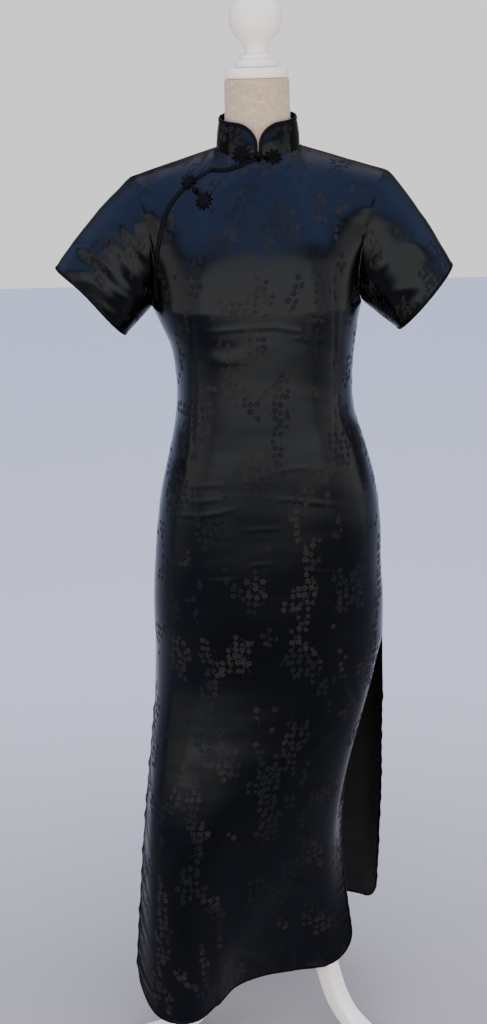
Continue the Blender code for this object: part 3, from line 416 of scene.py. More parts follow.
FRONT_SKIRT = np.array([
    # place across, then x and y at the knee and at the hem
    (-1.00, -0.215, -0.085, -0.243, -0.160), (-0.75, -0.197, -0.135, -0.198, -0.211),
    (-0.50, -0.155, -0.168, -0.141, -0.224), (-0.25, -0.103, -0.172, -0.100, -0.187),
    (0.00, -0.046, -0.162, -0.068, -0.143), (0.25, 0.012, -0.147, -0.025, -0.122),
    (0.50, 0.062, -0.125, 0.028, -0.114), (0.75, 0.100, -0.092, 0.083, -0.108),
    (1.00, 0.117, -0.045, 0.137, -0.088),
])
BACK_SKIRT = np.array([
    # the same for the back
    (-1.00, -0.196, 0.045, -0.205, 0.075), (-0.75, -0.176, 0.090, -0.180, 0.120),
    (-0.50, -0.128, 0.124, -0.130, 0.152), (-0.25, -0.068, 0.142, -0.068, 0.168),
    (0.00, -0.002, 0.149, 0.000, 0.174), (0.25, 0.064, 0.147, 0.068, 0.174),
    (0.50, 0.124, 0.132, 0.126, 0.167), (0.75, 0.170, 0.106, 0.165, 0.152), (1.00, 0.193, 0.060, 0.188, 0.124),
])
OPENING = np.array([
    # share of the way up from the underarm, place across
    (0.00, -0.965), (0.12, -0.905), (0.30, -0.860), (0.50, -0.805), (0.62, -0.745), (0.70, -0.655),
    (0.76, -0.530), (0.80, -0.405), (0.85, -0.280), (0.91, -0.160), (1.00, 0.000),
])


def smooth(table, column, at):
    """A smooth curve through one column of a table."""
    places, values = table[:, 0], table[:, column]
    slopes = np.gradient(values, places)
    at = np.clip(np.asarray(at, dtype=float), places[0], places[-1])
    i = np.clip(np.searchsorted(places, at, side="right") - 1, 0, len(places) - 2)
    step = places[i + 1] - places[i]
    f = (at - places[i]) / step
    return ((1 + 2 * f) * (1 - f) ** 2 * values[i] + f * (1 - f) ** 2 * step * slopes[i]
            + f * f * (3 - 2 * f) * values[i + 1] + f * f * (f - 1) * step * slopes[i + 1])


def hermite(start, start_pull, end, end_pull, f):
    """A curve between two points, with the pull of the cloth at each end."""
    f = np.asarray(f, dtype=float)[..., None]
    return (start * ((1 + 2 * f) * (1 - f) ** 2) + start_pull * (f * (1 - f) ** 2)
            + end * (f * f * (3 - 2 * f)) + end_pull * (f * f * (f - 1)))


def points(x, y, z):
    """Points from lists or single values of x, y and z."""
    return np.stack(np.broadcast_arrays(x, y, z), axis=-1).astype(float)


def trunk_point(side, across, height):
    """The surface from the slits to the underarms: side -1 is the front, 1 the back."""
    half = np.where(across < 0, smooth(TRUNK, 1, height), smooth(TRUNK, 2, height))
    depth = smooth(TRUNK, 3 if side < 0 else 4, height)
    angle = across * math.pi / 2
    x = np.sign(across) * np.abs(np.sin(angle)) ** 0.92 * half
    y = side * np.maximum(np.cos(angle), 0.0) ** 0.92 * depth
    return points(x, y, height)


def skirt_point(side, across, above_hem):
    """The surface from the hem up to the slits' tops."""
    low = BACK_HEM_Z if side > 0 else HEM_LEFT_Z + (HEM_RIGHT_Z - HEM_LEFT_Z) * (across + 1) / 2
    height = low + above_hem * (SLIT_TOP_Z - low) / (SLIT_TOP_Z - BACK_HEM_Z)
    table = FRONT_SKIRT if side < 0 else BACK_SKIRT
    hip = trunk_point(side, across, SLIT_TOP_Z)
    knee = points(smooth(table, 1, across), smooth(table, 2, across), KNEE_Z)
    hem = points(smooth(table, 3, across), smooth(table, 4, across), low)
    drop = SLIT_TOP_Z - KNEE_Z
    knee_pull = (hem - hip) * (drop / (SLIT_TOP_Z - np.broadcast_to(low, height.shape)))[..., None]
    hip_pull = points(0, 0, np.full(height.shape, -drop))
    if side < 0:
        hip_pull = hip_pull + (knee - hip) * (1.4 * np.maximum(across, 0.0) ** 3)[..., None]
    upper = hermite(hip, hip_pull, knee, knee_pull, (SLIT_TOP_Z - height) / drop)
    fall = (KNEE_Z - np.broadcast_to(low, height.shape))
    lower = hermite(knee, knee_pull * (fall / drop)[..., None], hem, hem - knee, (KNEE_Z - height) / fall)
    point = np.where((height > KNEE_Z)[..., None], upper, lower)
    point[..., 2] = height
    return point


def yoke_top(side, across):
    """The neckline, and beyond it the shoulder seam."""
    share = np.abs(across)
    hand = points(np.where(across < 0, -1.0, 1.0), 1.0, 1.0)
    f = np.clip((share - NECK_SHARE) / (1 - NECK_SHARE), 0, 1)[..., None]
    shoulder = SIDE_NECK * (1 - f) + SHOULDER_TIP * f
    angle = np.minimum(share / NECK_SHARE, 1.0) * math.pi / 2
    middle = FRONT_NECK if side < 0 else BACK_NECK
    neck = points(SIDE_NECK[0] * np.sin(angle), SIDE_NECK[1] + (middle[1] - SIDE_NECK[1]) * np.cos(angle),
                  SIDE_NECK[2] + (middle[2] - SIDE_NECK[2]) * np.cos(angle))
    return np.where((share >= NECK_SHARE)[..., None], shoulder, neck) * hand


def yoke_point(side, across, share):
    """The surface from the underarms to the neckline and the shoulder seam."""
    start = trunk_point(side, across, np.full(across.shape, UNDERARM_Z))
    end = yoke_top(side, across)
    spread = np.abs(across)
    over = np.minimum(spread / 0.6, 1.0)
    over = over * over * (3 - 2 * over)
    swell = 0.012 if side < 0 else 0.02
    rise = 0.16 if side < 0 else 0.12
    start_pull = points(-0.06 * across ** 3, side * (swell + 0.145 * spread ** 4), 0.17 - 0.02 * spread ** 4)
    end_pull = points(0.07 * across ** 3, -side * (0.10 + 0.12 * over), rise + (0.05 - rise) * over)
    return hermite(start, start_pull, end, end_pull, share)


def unit(vectors):
    return vectors / np.maximum(np.linalg.norm(vectors, axis=-1, keepdims=True), 1e-12)


def grid_normals(grid, ring=False):
    """The way out of the surface at each point."""
    if ring:
        across = np.roll(grid, -1, axis=1) - np.roll(grid, 1, axis=1)
    else:
        across = np.gradient(grid, axis=1)
    return unit(np.cross(across, np.gradient(grid, axis=0)))


def corner_inset(above_hem, radius):
    """How far the cloth's edge stands in from the finished side, round at the hem."""
    rise = (radius - BINDING_WIDTH) ** 2 - (radius - np.minimum(above_hem, radius)) ** 2
    return radius - np.sqrt(np.maximum(rise, 0.0))


def crowded(count, share=0.45):
    """Places from 0 to 1 that stand closer together near both ends."""
    f = np.linspace(0, 1, count + 1)
    return f * (1 - share) + (0.5 - 0.5 * np.cos(math.pi * f)) * share


def ease(grid, times=44):
    """Lets the cloth bridge the corner between neck and shoulder, but not at its edges."""
    up = np.linspace(0, 1, len(grid))
    hold = np.clip((1 - up) / 0.12, 0, 1) * np.clip(up / 0.2, 0, 1)
    for _ in range(times):
        middle = (grid[:, 2:] + grid[:, :-2]) / 4 - grid[:, 1:-1] / 2
        grid[:, 1:-1] += middle * hold[:, None, None]


FIRST_SKIRT_ROW, LAST_SKIRT_ROW = 0.032, 0.5985      # heights above the hem, past the close rows below
HEM_ROWS = np.array([0.0060, 0.0063, 0.0070, 0.0082, 0.0100, 0.0125, 0.0155, 0.0190, 0.0230, 0.0275])


def panel_grid(side, columns, skirt_step, trunk_step, yoke_rows):
    """Rows of points of the whole front or back, from the hem to the neck."""
    rows = []
    f = crowded(columns)
    above = np.concatenate([HEM_ROWS, np.arange(FIRST_SKIRT_ROW, LAST_SKIRT_ROW, skirt_step)])
    for value in above:
        left = -1 + corner_inset(value, LEFT_CORNER) / HALF_PANEL
        right = 1 - corner_inset(value, RIGHT_CORNER) / HALF_PANEL
        rows.append(skirt_point(side, left + (right - left) * f, np.full(f.shape, value)))
    slit_rows = len(rows)
    for height in np.arange(SLIT_TOP_Z, UNDERARM_Z - 0.001, trunk_step):
        rows.append(trunk_point(side, -1 + 2 * f, np.full(f.shape, height)))
    underarm_row = len(rows)
    for share in np.linspace(0, 1, yoke_rows):
        left = float(smooth(OPENING, 1, share)) if side < 0 else -1.0
        rows.append(yoke_point(side, left + (1 - left) * f, np.full(f.shape, share)))
    grid = np.array(rows)
    ease(grid[underarm_row:])
    return grid, slit_rows, underarm_row


def crease(grid, width, height, *line):
    """How far a soft ridge, or a trough, along a line of x and z moves each point."""
    flat = grid[..., [0, 2]]
    nearest = np.full(flat.shape[:2], 1e9)
    along = np.zeros(flat.shape[:2])
    lengths = [math.dist(a, b) for a, b in zip(line, line[1:])]
    total, passed = sum(lengths), 0.0
    for (ax, az), (bx, bz), length in zip(line, line[1:], lengths):
        way = np.array([bx - ax, bz - az]) / length
        offset = flat - np.array([ax, az])
        t = np.clip(offset @ way, 0, length)
        gap = np.linalg.norm(offset - t[..., None] * way, axis=-1)
        closer = gap < nearest
        nearest = np.where(closer, gap, nearest)
        along = np.where(closer, (passed + t) / total, along)
        passed += length
    fade = np.sin(math.pi * np.clip(along, 0.02, 0.98)) ** 0.6
    ridge = np.exp(-(nearest / width) ** 2) - 0.35 * np.exp(-(nearest / (2.4 * width)) ** 2)
    return height * fade * ridge


# Directions of the six waves that a ripple adds up.
RIPPLE_WAVES = ((1.0, 0.3, 0.42), (-0.55, 0.5, 0.83), (0.27, -0.7, -1.13), (1.31, 0.2, -0.36),
                (-0.9, 0.4, 0.21), (0.12, 0.9, 1.57))


def ripple(grid, size, height, phase):
    """A slow uneven rise and fall of the cloth, with waves of about that size."""
    x, y, z = grid[..., 0], grid[..., 1], grid[..., 2]
    total = np.zeros(grid.shape[:2])
    for k, (a, b, c) in enumerate(RIPPLE_WAVES):
        wave = (a * x + b * y + c * z) * 2 * math.pi / size
        total += np.sin(wave + phase * (k + 1) * 1.7 + 0.8 * np.sin(wave * 0.37 + phase + k))
    return height * total / len(RIPPLE_WAVES)


FRONT_FOLDS = [
    # width, height, and the line's points as x and z
    (0.0034, 0.0007, (-0.081, 1.243), (-0.021, 1.250), (0.030, 1.252), (0.067, 1.243), (0.106, 1.224)),
    (0.0030, 0.0006, (0.055, 1.236), (0.075, 1.231), (0.094, 1.223)),
    (0.0090, -0.0008, (-0.071, 1.224), (-0.040, 1.219), (-0.015, 1.224)),
    (0.0080, 0.0006, (-0.080, 1.206), (-0.045, 1.200), (-0.010, 1.206)),
    (0.0030, 0.0006, (-0.143, 0.953), (-0.091, 0.958), (-0.057, 0.967), (-0.032, 0.976)),
    (0.0030, 0.0006, (0.025, 0.989), (0.063, 0.984), (0.097, 0.976), (0.122, 0.971)),
    (0.0034, 0.0004, (-0.025, 0.939), (0.009, 0.942), (0.035, 0.941)),
    (0.0034, 0.0004, (-0.032, 0.872), (-0.013, 0.883), (0.023, 0.886)),
    (0.0030, 0.0005, (-0.085, 0.856), (-0.060, 0.856), (-0.038, 0.862)),
    (0.0034, 0.0004, (0.066, 0.873), (0.089, 0.867), (0.111, 0.866)),
    (0.0032, 0.0003, (-0.153, 0.817), (-0.111, 0.829)),
    (0.0036, 0.0019, (0.122, 0.680), (0.132, 0.655), (0.148, 0.628)),
    (0.0060, -0.0014, (0.130, 0.690), (0.142, 0.655), (0.152, 0.632)),
    (0.0140, -0.0008, (0.057, 1.484), (0.074, 1.442), (0.092, 1.407), (0.120, 1.356)),
    (0.0120, 0.0012, (0.084, 1.490), (0.100, 1.440), (0.118, 1.400)),
    (0.0120, 0.0010, (0.110, 1.487), (0.146, 1.459), (0.167, 1.437)),
    (0.0055, 0.0016, (-0.060, 1.438), (-0.023, 1.457), (0.002, 1.470)),
    (0.0065, -0.0014, (-0.050, 1.430), (-0.018, 1.448), (0.010, 1.463)),
    (0.0100, -0.0008, (-0.115, 1.215), (-0.124, 1.140), (-0.118, 1.070)),
    (0.0080, 0.0007, (-0.100, 1.200), (-0.108, 1.130), (-0.104, 1.060)),
    (0.0100, 0.0010, (0.126, 1.240), (0.140, 1.180), (0.148, 1.117)),
    (0.0090, 0.0009, (0.128, 1.110), (0.138, 1.080), (0.150, 1.040)),
    (0.0080, -0.0008, (0.132, 1.180), (0.134, 1.110), (0.140, 1.060)),
    (0.0040, 0.0004, (-0.140, 1.010), (-0.100, 1.004), (-0.050, 1.012)),
    (0.0040, 0.0004, (-0.145, 0.985), (-0.095, 0.980), (-0.045, 0.990)),
    (0.0040, 0.0003, (0.010, 1.030), (0.060, 1.036), (0.105, 1.028)),
    (0.0300, 0.0037, (0.000, 0.400), (-0.020, 0.310), (-0.060, 0.235), (-0.035, 0.185)),
    (0.0070, -0.0019, (-0.055, 0.214), (-0.033, 0.191), (-0.004, 0.156)),
    (0.0100, 0.0016, (0.015, 0.352), (0.060, 0.322), (0.112, 0.272)),
    (0.0120, -0.0015, (0.020, 0.320), (0.062, 0.290), (0.112, 0.238)),
    (0.0260, -0.0030, (-0.120, 0.520), (-0.135, 0.400), (-0.150, 0.260)),
    (0.0220, 0.0026, (-0.060, 0.560), (-0.080, 0.420), (-0.105, 0.250)),
    (0.0080, 0.0012, (0.070, 0.560), (0.095, 0.585), (0.118, 0.612)),
    (0.0080, 0.0010, (0.062, 0.470), (0.090, 0.492), (0.114, 0.500)),
]
# Heights of the small pulls beside each slit's stitching.
LEFT_SLIT_PUCKERS = (0.600, 0.572, 0.549, 0.517, 0.494, 0.462, 0.436, 0.402, 0.379, 0.343, 0.316, 0.281,
                     0.255, 0.222, 0.196, 0.171)
RIGHT_SLIT_PUCKERS = (0.612, 0.601, 0.586, 0.577, 0.561, 0.547, 0.538, 0.520, 0.509, 0.498, 0.481, 0.470, 0.456,
                      0.447, 0.431, 0.417, 0.408, 0.392, 0.379, 0.370, 0.352, 0.341, 0.326, 0.316, 0.299, 0.286,
                      0.262, 0.240, 0.222)


def puckers(height, reach, places, slope, width, depth, length):
    """Small pulls in the cloth beside a stitched edge: reach is the way in from it."""
    total = np.zeros(height.shape)
    for n, place in enumerate(places):
        size = 0.65 + 0.35 * math.sin(n * 2.3 + 1.1)
        across = (height - place - slope * reach) / (width * (0.8 + 0.3 * size))
        inward = np.exp(-(reach / (length * (0.6 + 0.5 * size))) ** 2)
        total += depth * size * (np.exp(-across ** 2) - 0.4 * np.exp(-(across / 2.2) ** 2)) * inward
    return total


def shell(name, outer, out, uv, ring=False, dart_gap=None):
    """A thin cloth wall: the face side, the reverse and the cut edges between."""
    inner = outer - out * CLOTH
    if dart_gap is None:
        dart_gap = np.ones(outer.shape[:2])
    rows, cols = outer.shape[:2]
    back = rows * cols
    ids = np.arange(back).reshape(rows, cols)
    right = np.roll(ids, -1, axis=1) if ring else ids[:, 1:]
    left = ids if ring else ids[:, :-1]
    a, b, c, d = left[:-1].ravel(), right[:-1].ravel(), left[1:].ravel(), right[1:].ravel()
    face_side = np.stack([a, b, d, c], axis=1)
    reverse = np.stack([back + a, back + c, back + d, back + b], axis=1)
    rims = [np.stack([left[0], back + left[0], back + right[0], right[0]], axis=1),
            np.stack([left[-1], right[-1], back + right[-1], back + left[-1]], axis=1)]
    if not ring:
        rims.append(np.stack([ids[:-1, 0], ids[1:, 0], back + ids[1:, 0], back + ids[:-1, 0]], axis=1))
        rims.append(np.stack([ids[:-1, -1], back + ids[:-1, -1], back + ids[1:, -1], ids[1:, -1]], axis=1))
    faces = np.concatenate([face_side, reverse] + rims)
    verts = np.concatenate([outer.reshape(-1, 3), inner.reshape(-1, 3)]) + np.array(AXIS)
    mesh = bpy.data.meshes.new(name)
    mesh.from_pydata(verts.tolist(), [], faces.tolist())
    mesh.materials.append(satin)
    mesh.materials.append(reverse_side)
    kinds = np.zeros(len(faces), dtype=np.int32)
    kinds[len(face_side):len(face_side) * 2] = 1
    mesh.polygons.foreach_set("material_index", kinds)
    loops = np.empty(len(mesh.loops), dtype=np.int32)
    mesh.loops.foreach_get("vertex_index", loops)
    both = np.concatenate([uv.reshape(-1, 2)] * 2)
    layer = mesh.uv_layers.new(name="cloth")
    layer.data.foreach_set("uv", both[loops].astype(np.float32).ravel())
    attribute = mesh.attributes.new("dart", "FLOAT", "POINT")
    attribute.data.foreach_set("value", np.tile(dart_gap.ravel(), 2).astype(np.float32))
    return finish_mesh(name, mesh, 60)


def flat_places(grid, middle):
    """Where each point lay on the flat cloth, in metres, for the woven pattern."""
    steps = np.linalg.norm(np.diff(grid, axis=1), axis=2)
    run = np.concatenate([np.zeros((len(grid), 1)), np.cumsum(steps, axis=1)], axis=1)
    run -= run[:, middle][:, None]
    rise = np.concatenate([[0], np.cumsum(np.linalg.norm(np.diff(grid[:, middle], axis=0), axis=1))])
    return np.stack([run, np.broadcast_to(rise[:, None], run.shape)], axis=-1)


# The satin's face: smooth black warp floats. A duller weft draws small five-petalled
# blossoms on it, crowded in uneven sprays along thin twigs, some dark, some gold-brown.
satin, tree, shader = new_material("black_satin", (0.001, 0.001, 0.0012), 0.2)
shader.inputs["Specular IOR Level"].default_value = 0.18
shader.inputs["Specular Tint"].default_value = (0.66, 0.80, 1.0, 1)
flat = add_node(tree, "ShaderNodeUVMap", uv_map="cloth").outputs[0]
BLOSSOM_PITCH = 0.0112


def spray_field(tree, place, scale, detail):
    """Slow chance values that run in slanting streaks up the cloth."""
    return noise(tree, laid(tree, place, (1.7, 0.85, 1.0), -0.42), scale, detail, "2D")


cells = add_node(tree, "ShaderNodeTexVoronoi", voronoi_dimensions="2D", Vector=flat, Scale=1 / BLOSSOM_PITCH,
                 Randomness=0.52)
tint = add_node(tree, "ShaderNodeSeparateXYZ", Vector=cells.outputs["Color"])
middle = cells.outputs["Position"]
chosen = calc(tree, "MULTIPLY_ADD", tint.outputs[2], 0.07, spray_field(tree, middle, 15.0, 1.0))
chosen = calc(tree, "GREATER_THAN", chosen, 0.585)
local = add_node(tree, "ShaderNodeVectorMath", operation="SUBTRACT", i0=flat, i1=middle)
parts = add_node(tree, "ShaderNodeSeparateXYZ", Vector=local.outputs[0])
reach = add_node(tree, "ShaderNodeVectorMath", operation="LENGTH", i0=local.outputs[0]).outputs["Value"]
BLOSSOM_PETALS, FULL_TURN = 5, 6.2832
turn = calc(tree, "ARCTAN2", parts.outputs[1], parts.outputs[0])
turn = calc(tree, "MULTIPLY_ADD", tint.outputs[0], 6.283, turn)
turn = calc(tree, "MULTIPLY", turn, BLOSSOM_PETALS / FULL_TURN)
turn = calc(tree, "MULTIPLY", calc(tree, "SUBTRACT", turn, calc(tree, "ROUND", turn)),
            FULL_TURN / BLOSSOM_PETALS)
size = ramp(tree, tint.outputs[1], 0.0, 1.0, 0.80, 1.06)
across = calc(tree, "MULTIPLY_ADD", size, -0.0030, calc(tree, "MULTIPLY", reach, calc(tree, "COSINE", turn)))
beside = calc(tree, "MULTIPLY", reach, calc(tree, "SINE", turn))
petal = calc(tree, "SQRT", calc(tree, "MULTIPLY_ADD", across, across, calc(tree, "MULTIPLY", beside, beside)))
petal = calc(tree, "DIVIDE", petal, size)
blossom = calc(tree, "MULTIPLY", ramp(tree, petal, 0.0016, 0.0021, 1.0, 0.0),
               ramp(tree, petal, 0.0003, 0.0009, 0.55, 1.0))
heart = ramp(tree, reach, 0.0005, 0.0009, 1.0, 0.0)
blossom = calc(tree, "MULTIPLY", calc(tree, "MAXIMUM", blossom, heart), chosen)

near_spray = ramp(tree, spray_field(tree, flat, 15.0, 1.0), 0.53, 0.57)
wander = calc(tree, "ABSOLUTE", calc(tree, "SUBTRACT", spray_field(tree, flat, 34.0, 0.0), 0.5))
twig = calc(tree, "MULTIPLY", ramp(tree, wander, 0.010, 0.022, 1.0, 0.0), near_spray)
BUD_PITCH = 0.0050
buds = add_node(tree, "ShaderNodeTexVoronoi", voronoi_dimensions="2D", Vector=flat, Scale=1 / BUD_PITCH,
                Randomness=1.0)
bud_chance = add_node(tree, "ShaderNodeSeparateXYZ", Vector=buds.outputs["Color"]).outputs[0]
bud = calc(tree, "MULTIPLY", ramp(tree, buds.outputs["Distance"], 0.22, 0.34, 1.0, 0.0),
           calc(tree, "GREATER_THAN", bud_chance, 0.70))
bud = calc(tree, "MULTIPLY", bud, calc(tree, "MULTIPLY", near_spray, ramp(tree, wander, 0.05, 0.09, 1.0, 0.0)))
pattern = calc(tree, "MAXIMUM", blossom, calc(tree, "MULTIPLY", calc(tree, "MAXIMUM", twig, bud), 0.8))
ground = blend_color(tree, noise(tree, flat, 9.0, 3.0),
                     (0.0007, 0.0008, 0.0010, 1), (0.0014, 0.0014, 0.0015, 1))
golden = ramp(tree, noise(tree, middle, 9.0, 1.0, "2D"), 0.46, 0.60)
golden = calc(tree, "MULTIPLY", golden, ramp(tree, tint.outputs[1], 0.1, 0.6, 0.55, 1.0))
weft_color = blend_color(tree, golden, (0.0030, 0.0026, 0.0023, 1), (0.0125, 0.0096, 0.0060, 1))
figured = blend_color(tree, pattern, ground, weft_color)
dart = add_node(tree, "ShaderNodeAttribute", attribute_name="dart").outputs["Fac"]
seam_line = ramp(tree, dart, 0.0006, 0.0017, 1.0, 0.0)
sewn = blend_color(tree, calc(tree, "MULTIPLY", seam_line, 0.8), figured, (0.0010, 0.0010, 0.0012, 1))
tree.links.new(sewn, shader.inputs["Base Color"])
gloss = ramp(tree, noise(tree, flat, 140.0, 3.0), 0.3, 0.7, 0.17, 0.23)
rough = calc(tree, "MAXIMUM", calc(tree, "MULTIPLY", pattern, 0.85), gloss)
tree.links.new(calc(tree, "MAXIMUM", rough, calc(tree, "MULTIPLY", seam_line, 0.9)), shader.inputs["Roughness"])
threads = noise(tree, laid(tree, flat, (1.0, 0.12, 1)), 2600.0, 1.0, "2D")
height = calc(tree, "MULTIPLY_ADD", threads, 0.12, calc(tree, "MULTIPLY", pattern, -0.9))
height = calc(tree, "SUBTRACT", height, calc(tree, "MULTIPLY", seam_line, 4.0))
emboss(tree, shader, height, 0.35, 0.00012)

# The satin's reverse: the dull brown-black side of the same weave.
reverse_side, tree, shader = new_material("satin_reverse", (0.010, 0.008, 0.007), 0.62)
shader.inputs["Specular IOR Level"].default_value = 0.25
flat = add_node(tree, "ShaderNodeUVMap", uv_map="cloth").outputs[0]
mottle = ramp(tree, noise(tree, flat, 60.0, 5.0), 0.4, 0.62)
tree.links.new(blend_color(tree, mottle, (0.0032, 0.0027, 0.0024, 1), (0.0066, 0.0054, 0.0046, 1)),
               shader.inputs["Base Color"])
emboss(tree, shader, noise(tree, flat, 1800.0, 1.0), 0.4, 0.0002)

FRONT_COLUMNS, YOKE_ROWS = 112, 62
front, front_slit, front_underarm = panel_grid(-1, FRONT_COLUMNS, 0.0034, 0.0032, YOKE_ROWS)
front_out = grid_normals(front)


def border_reach(grid):
    """The way along each row from its left border and from its right border."""
    steps = np.linalg.norm(np.diff(grid, axis=1), axis=2)
    run = np.concatenate([np.zeros((len(grid), 1)), np.cumsum(steps, axis=1)], axis=1)
    return run, run[:, -1:] - run


def seam_dip(reach):
    """Cloth sinks a little into a stitched seam."""
    return -0.0010 * np.exp(-(reach / 0.0035) ** 2)


def creases(grid, folds):
    """What all the ridges and troughs of a list add up to."""
    return sum(crease(grid, width, height, *line) for width, height, *line in folds)


def front_lay(grid):
    """The front's folds: how far each point stands over the plain shape."""
    placed = grid + np.array(AXIS)
    return (ripple(placed, 0.13, 0.0007, 0.4) + ripple(placed, 0.045, 0.00016, 2.1)
            + creases(placed, FRONT_FOLDS))


from_left, from_right = border_reach(front)
lay = front_lay(front)
skirt, body, yoke = slice(0, front_slit), slice(front_slit, front_underarm), slice(front_underarm, None)
lay[skirt] += puckers(front[skirt, :, 2], from_right[skirt], RIGHT_SLIT_PUCKERS, -0.35, 0.0042, 0.0022, 0.017)
lay[skirt] += puckers(front[skirt, :, 2], from_left[skirt], LEFT_SLIT_PUCKERS, -1.0, 0.0075, 0.0030, 0.026)
lay[front_slit:] += seam_dip(from_right[front_slit:])
lay[body] += seam_dip(from_left[body])
ARMHOLE_PULLS = (1.290, 1.304, 1.316, 1.331, 1.343, 1.358, 1.374, 1.391, 1.410)
lay[yoke] += puckers(front[yoke, :, 2], from_right[yoke], ARMHOLE_PULLS, 0.25, 0.004, 0.0009, 0.014)
SIDE_PULLS = (0.745, 0.760, 0.790, 0.812, 0.850, 0.905, 0.960, 1.010, 1.052, 1.090, 1.118, 1.150, 1.176,
              1.205, 1.236)
lay[body] += puckers(front[body, :, 2], from_right[body], SIDE_PULLS, -0.5, 0.006, 0.0012, 0.022)
lay[body] += puckers(front[body, :, 2], from_left[body], SIDE_PULLS[::2], -0.5, 0.007, 0.0010, 0.020)
DART_LINES = [
    # x at the top, height of the top, x at the foot, height of the foot
    (-0.0870, 1.342, -0.0990, 1.045),
    (0.1200, 1.326, 0.1180, 1.045),
]
placed = front + np.array(AXIS)
dart_gap = np.full(placed.shape[:2], 1.0)
for top_x, top_z, foot_x, foot_z in DART_LINES:
    share = (placed[..., 2] - foot_z) / (top_z - foot_z)
    line_x = foot_x + (top_x - foot_x) * share
    beyond = np.maximum(np.maximum(-share, share - 1), 0) * 0.3
    slope = np.abs(front_out[..., 1])
    dart_gap = np.minimum(dart_gap, np.abs(placed[..., 0] - line_x) / np.maximum(slope, 0.3) + beyond)
lay -= 0.0009 * np.exp(-(dart_gap / 0.0030) ** 2)
for x, z in ((-0.0990, 1.040), (0.1180, 1.038)):     # the dimple at the foot of each dart
    lay -= 0.0016 * np.exp(-np.sum((placed[..., [0, 2]] - (x, z)) ** 2, axis=-1) / 0.006 ** 2)
front_face = front + front_out * lay[..., None]

front_piece = shell("front_cloth", front_face, front_out, flat_places(front, FRONT_COLUMNS // 2),
                    dart_gap=dart_gap)
fasten(front_piece, "satin", "front_panel")

# ---- The underlap: the small yoke of the same satin that fills the right side
# of the chest, under the slanted opening.

shares = np.linspace(0, 1, YOKE_ROWS)
edge_places = smooth(OPENING, 1, shares)
f = crowded(46)
underlap = np.array([yoke_point(-1, -1 + (edge_place + 1) * f, np.full(f.shape, share))
                     for share, edge_place in zip(shares, edge_places)])
ease(underlap, 16)
underlap_out = grid_normals(underlap)
underlap_out[:, -1] = front_out[front_underarm:, 0]
UNDERLAP_FOLDS = [
    (0.0026, -0.0022, (-0.052, 1.496), (-0.060, 1.480), (-0.070, 1.459)),
    (0.0040, 0.0016, (-0.060, 1.497), (-0.068, 1.480), (-0.077, 1.462)),
    (0.0090, -0.0015, (-0.120, 1.470), (-0.118, 1.430), (-0.122, 1.390)),
    (0.0080, 0.0014, (-0.150, 1.455), (-0.142, 1.410), (-0.140, 1.360)),
    (0.0060, 0.0010, (-0.020, 1.480), (-0.040, 1.470), (-0.058, 1.462)),
    (0.0060, -0.0012, (-0.118, 1.345), (-0.124, 1.310), (-0.130, 1.285)),
]
from_left, from_right = border_reach(underlap)
lay = front_lay(underlap) + creases(underlap + np.array(AXIS), UNDERLAP_FOLDS)
lay = lay * np.minimum(from_right / 0.004, 1.0) + seam_dip(from_left)
lay -= 0.0006 * np.exp(-(from_right / 0.004) ** 2)      # the turned edge lies flat
lay += puckers(underlap[..., 2], from_left, ARMHOLE_PULLS, 0.25, 0.004, 0.0010, 0.014)
underlap_face = underlap + underlap_out * lay[..., None]
underlap_piece = shell("underlap_cloth", underlap_face, underlap_out,
                       flat_places(underlap, 20) + np.array([0.31, 0.07]))
fasten(underlap_piece, "satin", "front_underlap")

# ---- The back: one panel from the neck to the hem, in the same satin. It meets
# the front along the shoulders and down the sides to the slits.

BACK_COLUMNS = 104
back, back_slit, _ = panel_grid(1, BACK_COLUMNS, 0.0045, 0.0045, 50)
back_out = -grid_normals(back)
BACK_FOLDS = [
    (0.0100, -0.0022, (-0.120, 1.110), (-0.040, 1.128), (0.050, 1.122), (0.120, 1.104)),
    (0.0090, 0.0018, (-0.100, 1.150), (-0.020, 1.160), (0.085, 1.146)),
    (0.0080, -0.0014, (-0.080, 1.075), (0.010, 1.085), (0.090, 1.070)),
    (0.0060, 0.0010, (-0.130, 1.030), (-0.050, 1.042), (0.030, 1.036)),
    (0.0180, 0.0028, (0.080, 1.440), (0.110, 1.370), (0.126, 1.300)),
    (0.0160, 0.0026, (-0.070, 1.440), (-0.092, 1.370), (-0.104, 1.300)),
    (0.0240, -0.0040, (0.010, 0.640), (0.020, 0.420), (0.034, 0.160)),
    (0.0260, 0.0040, (-0.080, 0.620), (-0.090, 0.420), (-0.096, 0.150)),
    (0.0220, 0.0036, (0.100, 0.600), (0.112, 0.400), (0.118, 0.170)),
    (0.0070, 0.0012, (-0.120, 0.880), (-0.020, 0.870), (0.090, 0.884)),
    (0.0060, 0.0010, (-0.060, 0.800), (0.030, 0.792), (0.110, 0.800)),
]
from_left, from_right = border_reach(back)
placed = back + np.array(AXIS)
lay = ripple(placed, 0.12, 0.0013, 1.9) + ripple(placed, 0.05, 0.0004, 0.7) + creases(placed, BACK_FOLDS)
skirt = slice(0, back_slit)
for reach, shift, slope in ((from_right, -0.006, 0.8), (from_left, 0.004, -0.8)):
    heights = [height + shift for height in LEFT_SLIT_PUCKERS]
    lay[skirt] += puckers(back[skirt, :, 2], reach[skirt], heights, slope, 0.008, 0.0022, 0.024)
lay[back_slit:] += seam_dip(from_left[back_slit:]) + seam_dip(from_right[back_slit:])
back_face = back + back_out * lay[..., None]
back_piece = shell("back_cloth", back_face, back_out,
                   flat_places(back, BACK_COLUMNS // 2) + np.array([0.9, 0.02]))
fasten(back_piece, "satin", "back_panel")

# ---- The sleeves: short set-in sleeves of the satin, each one piece sewn along
# the underarm. The left one is the more crumpled, with deep pulls at its armhole.

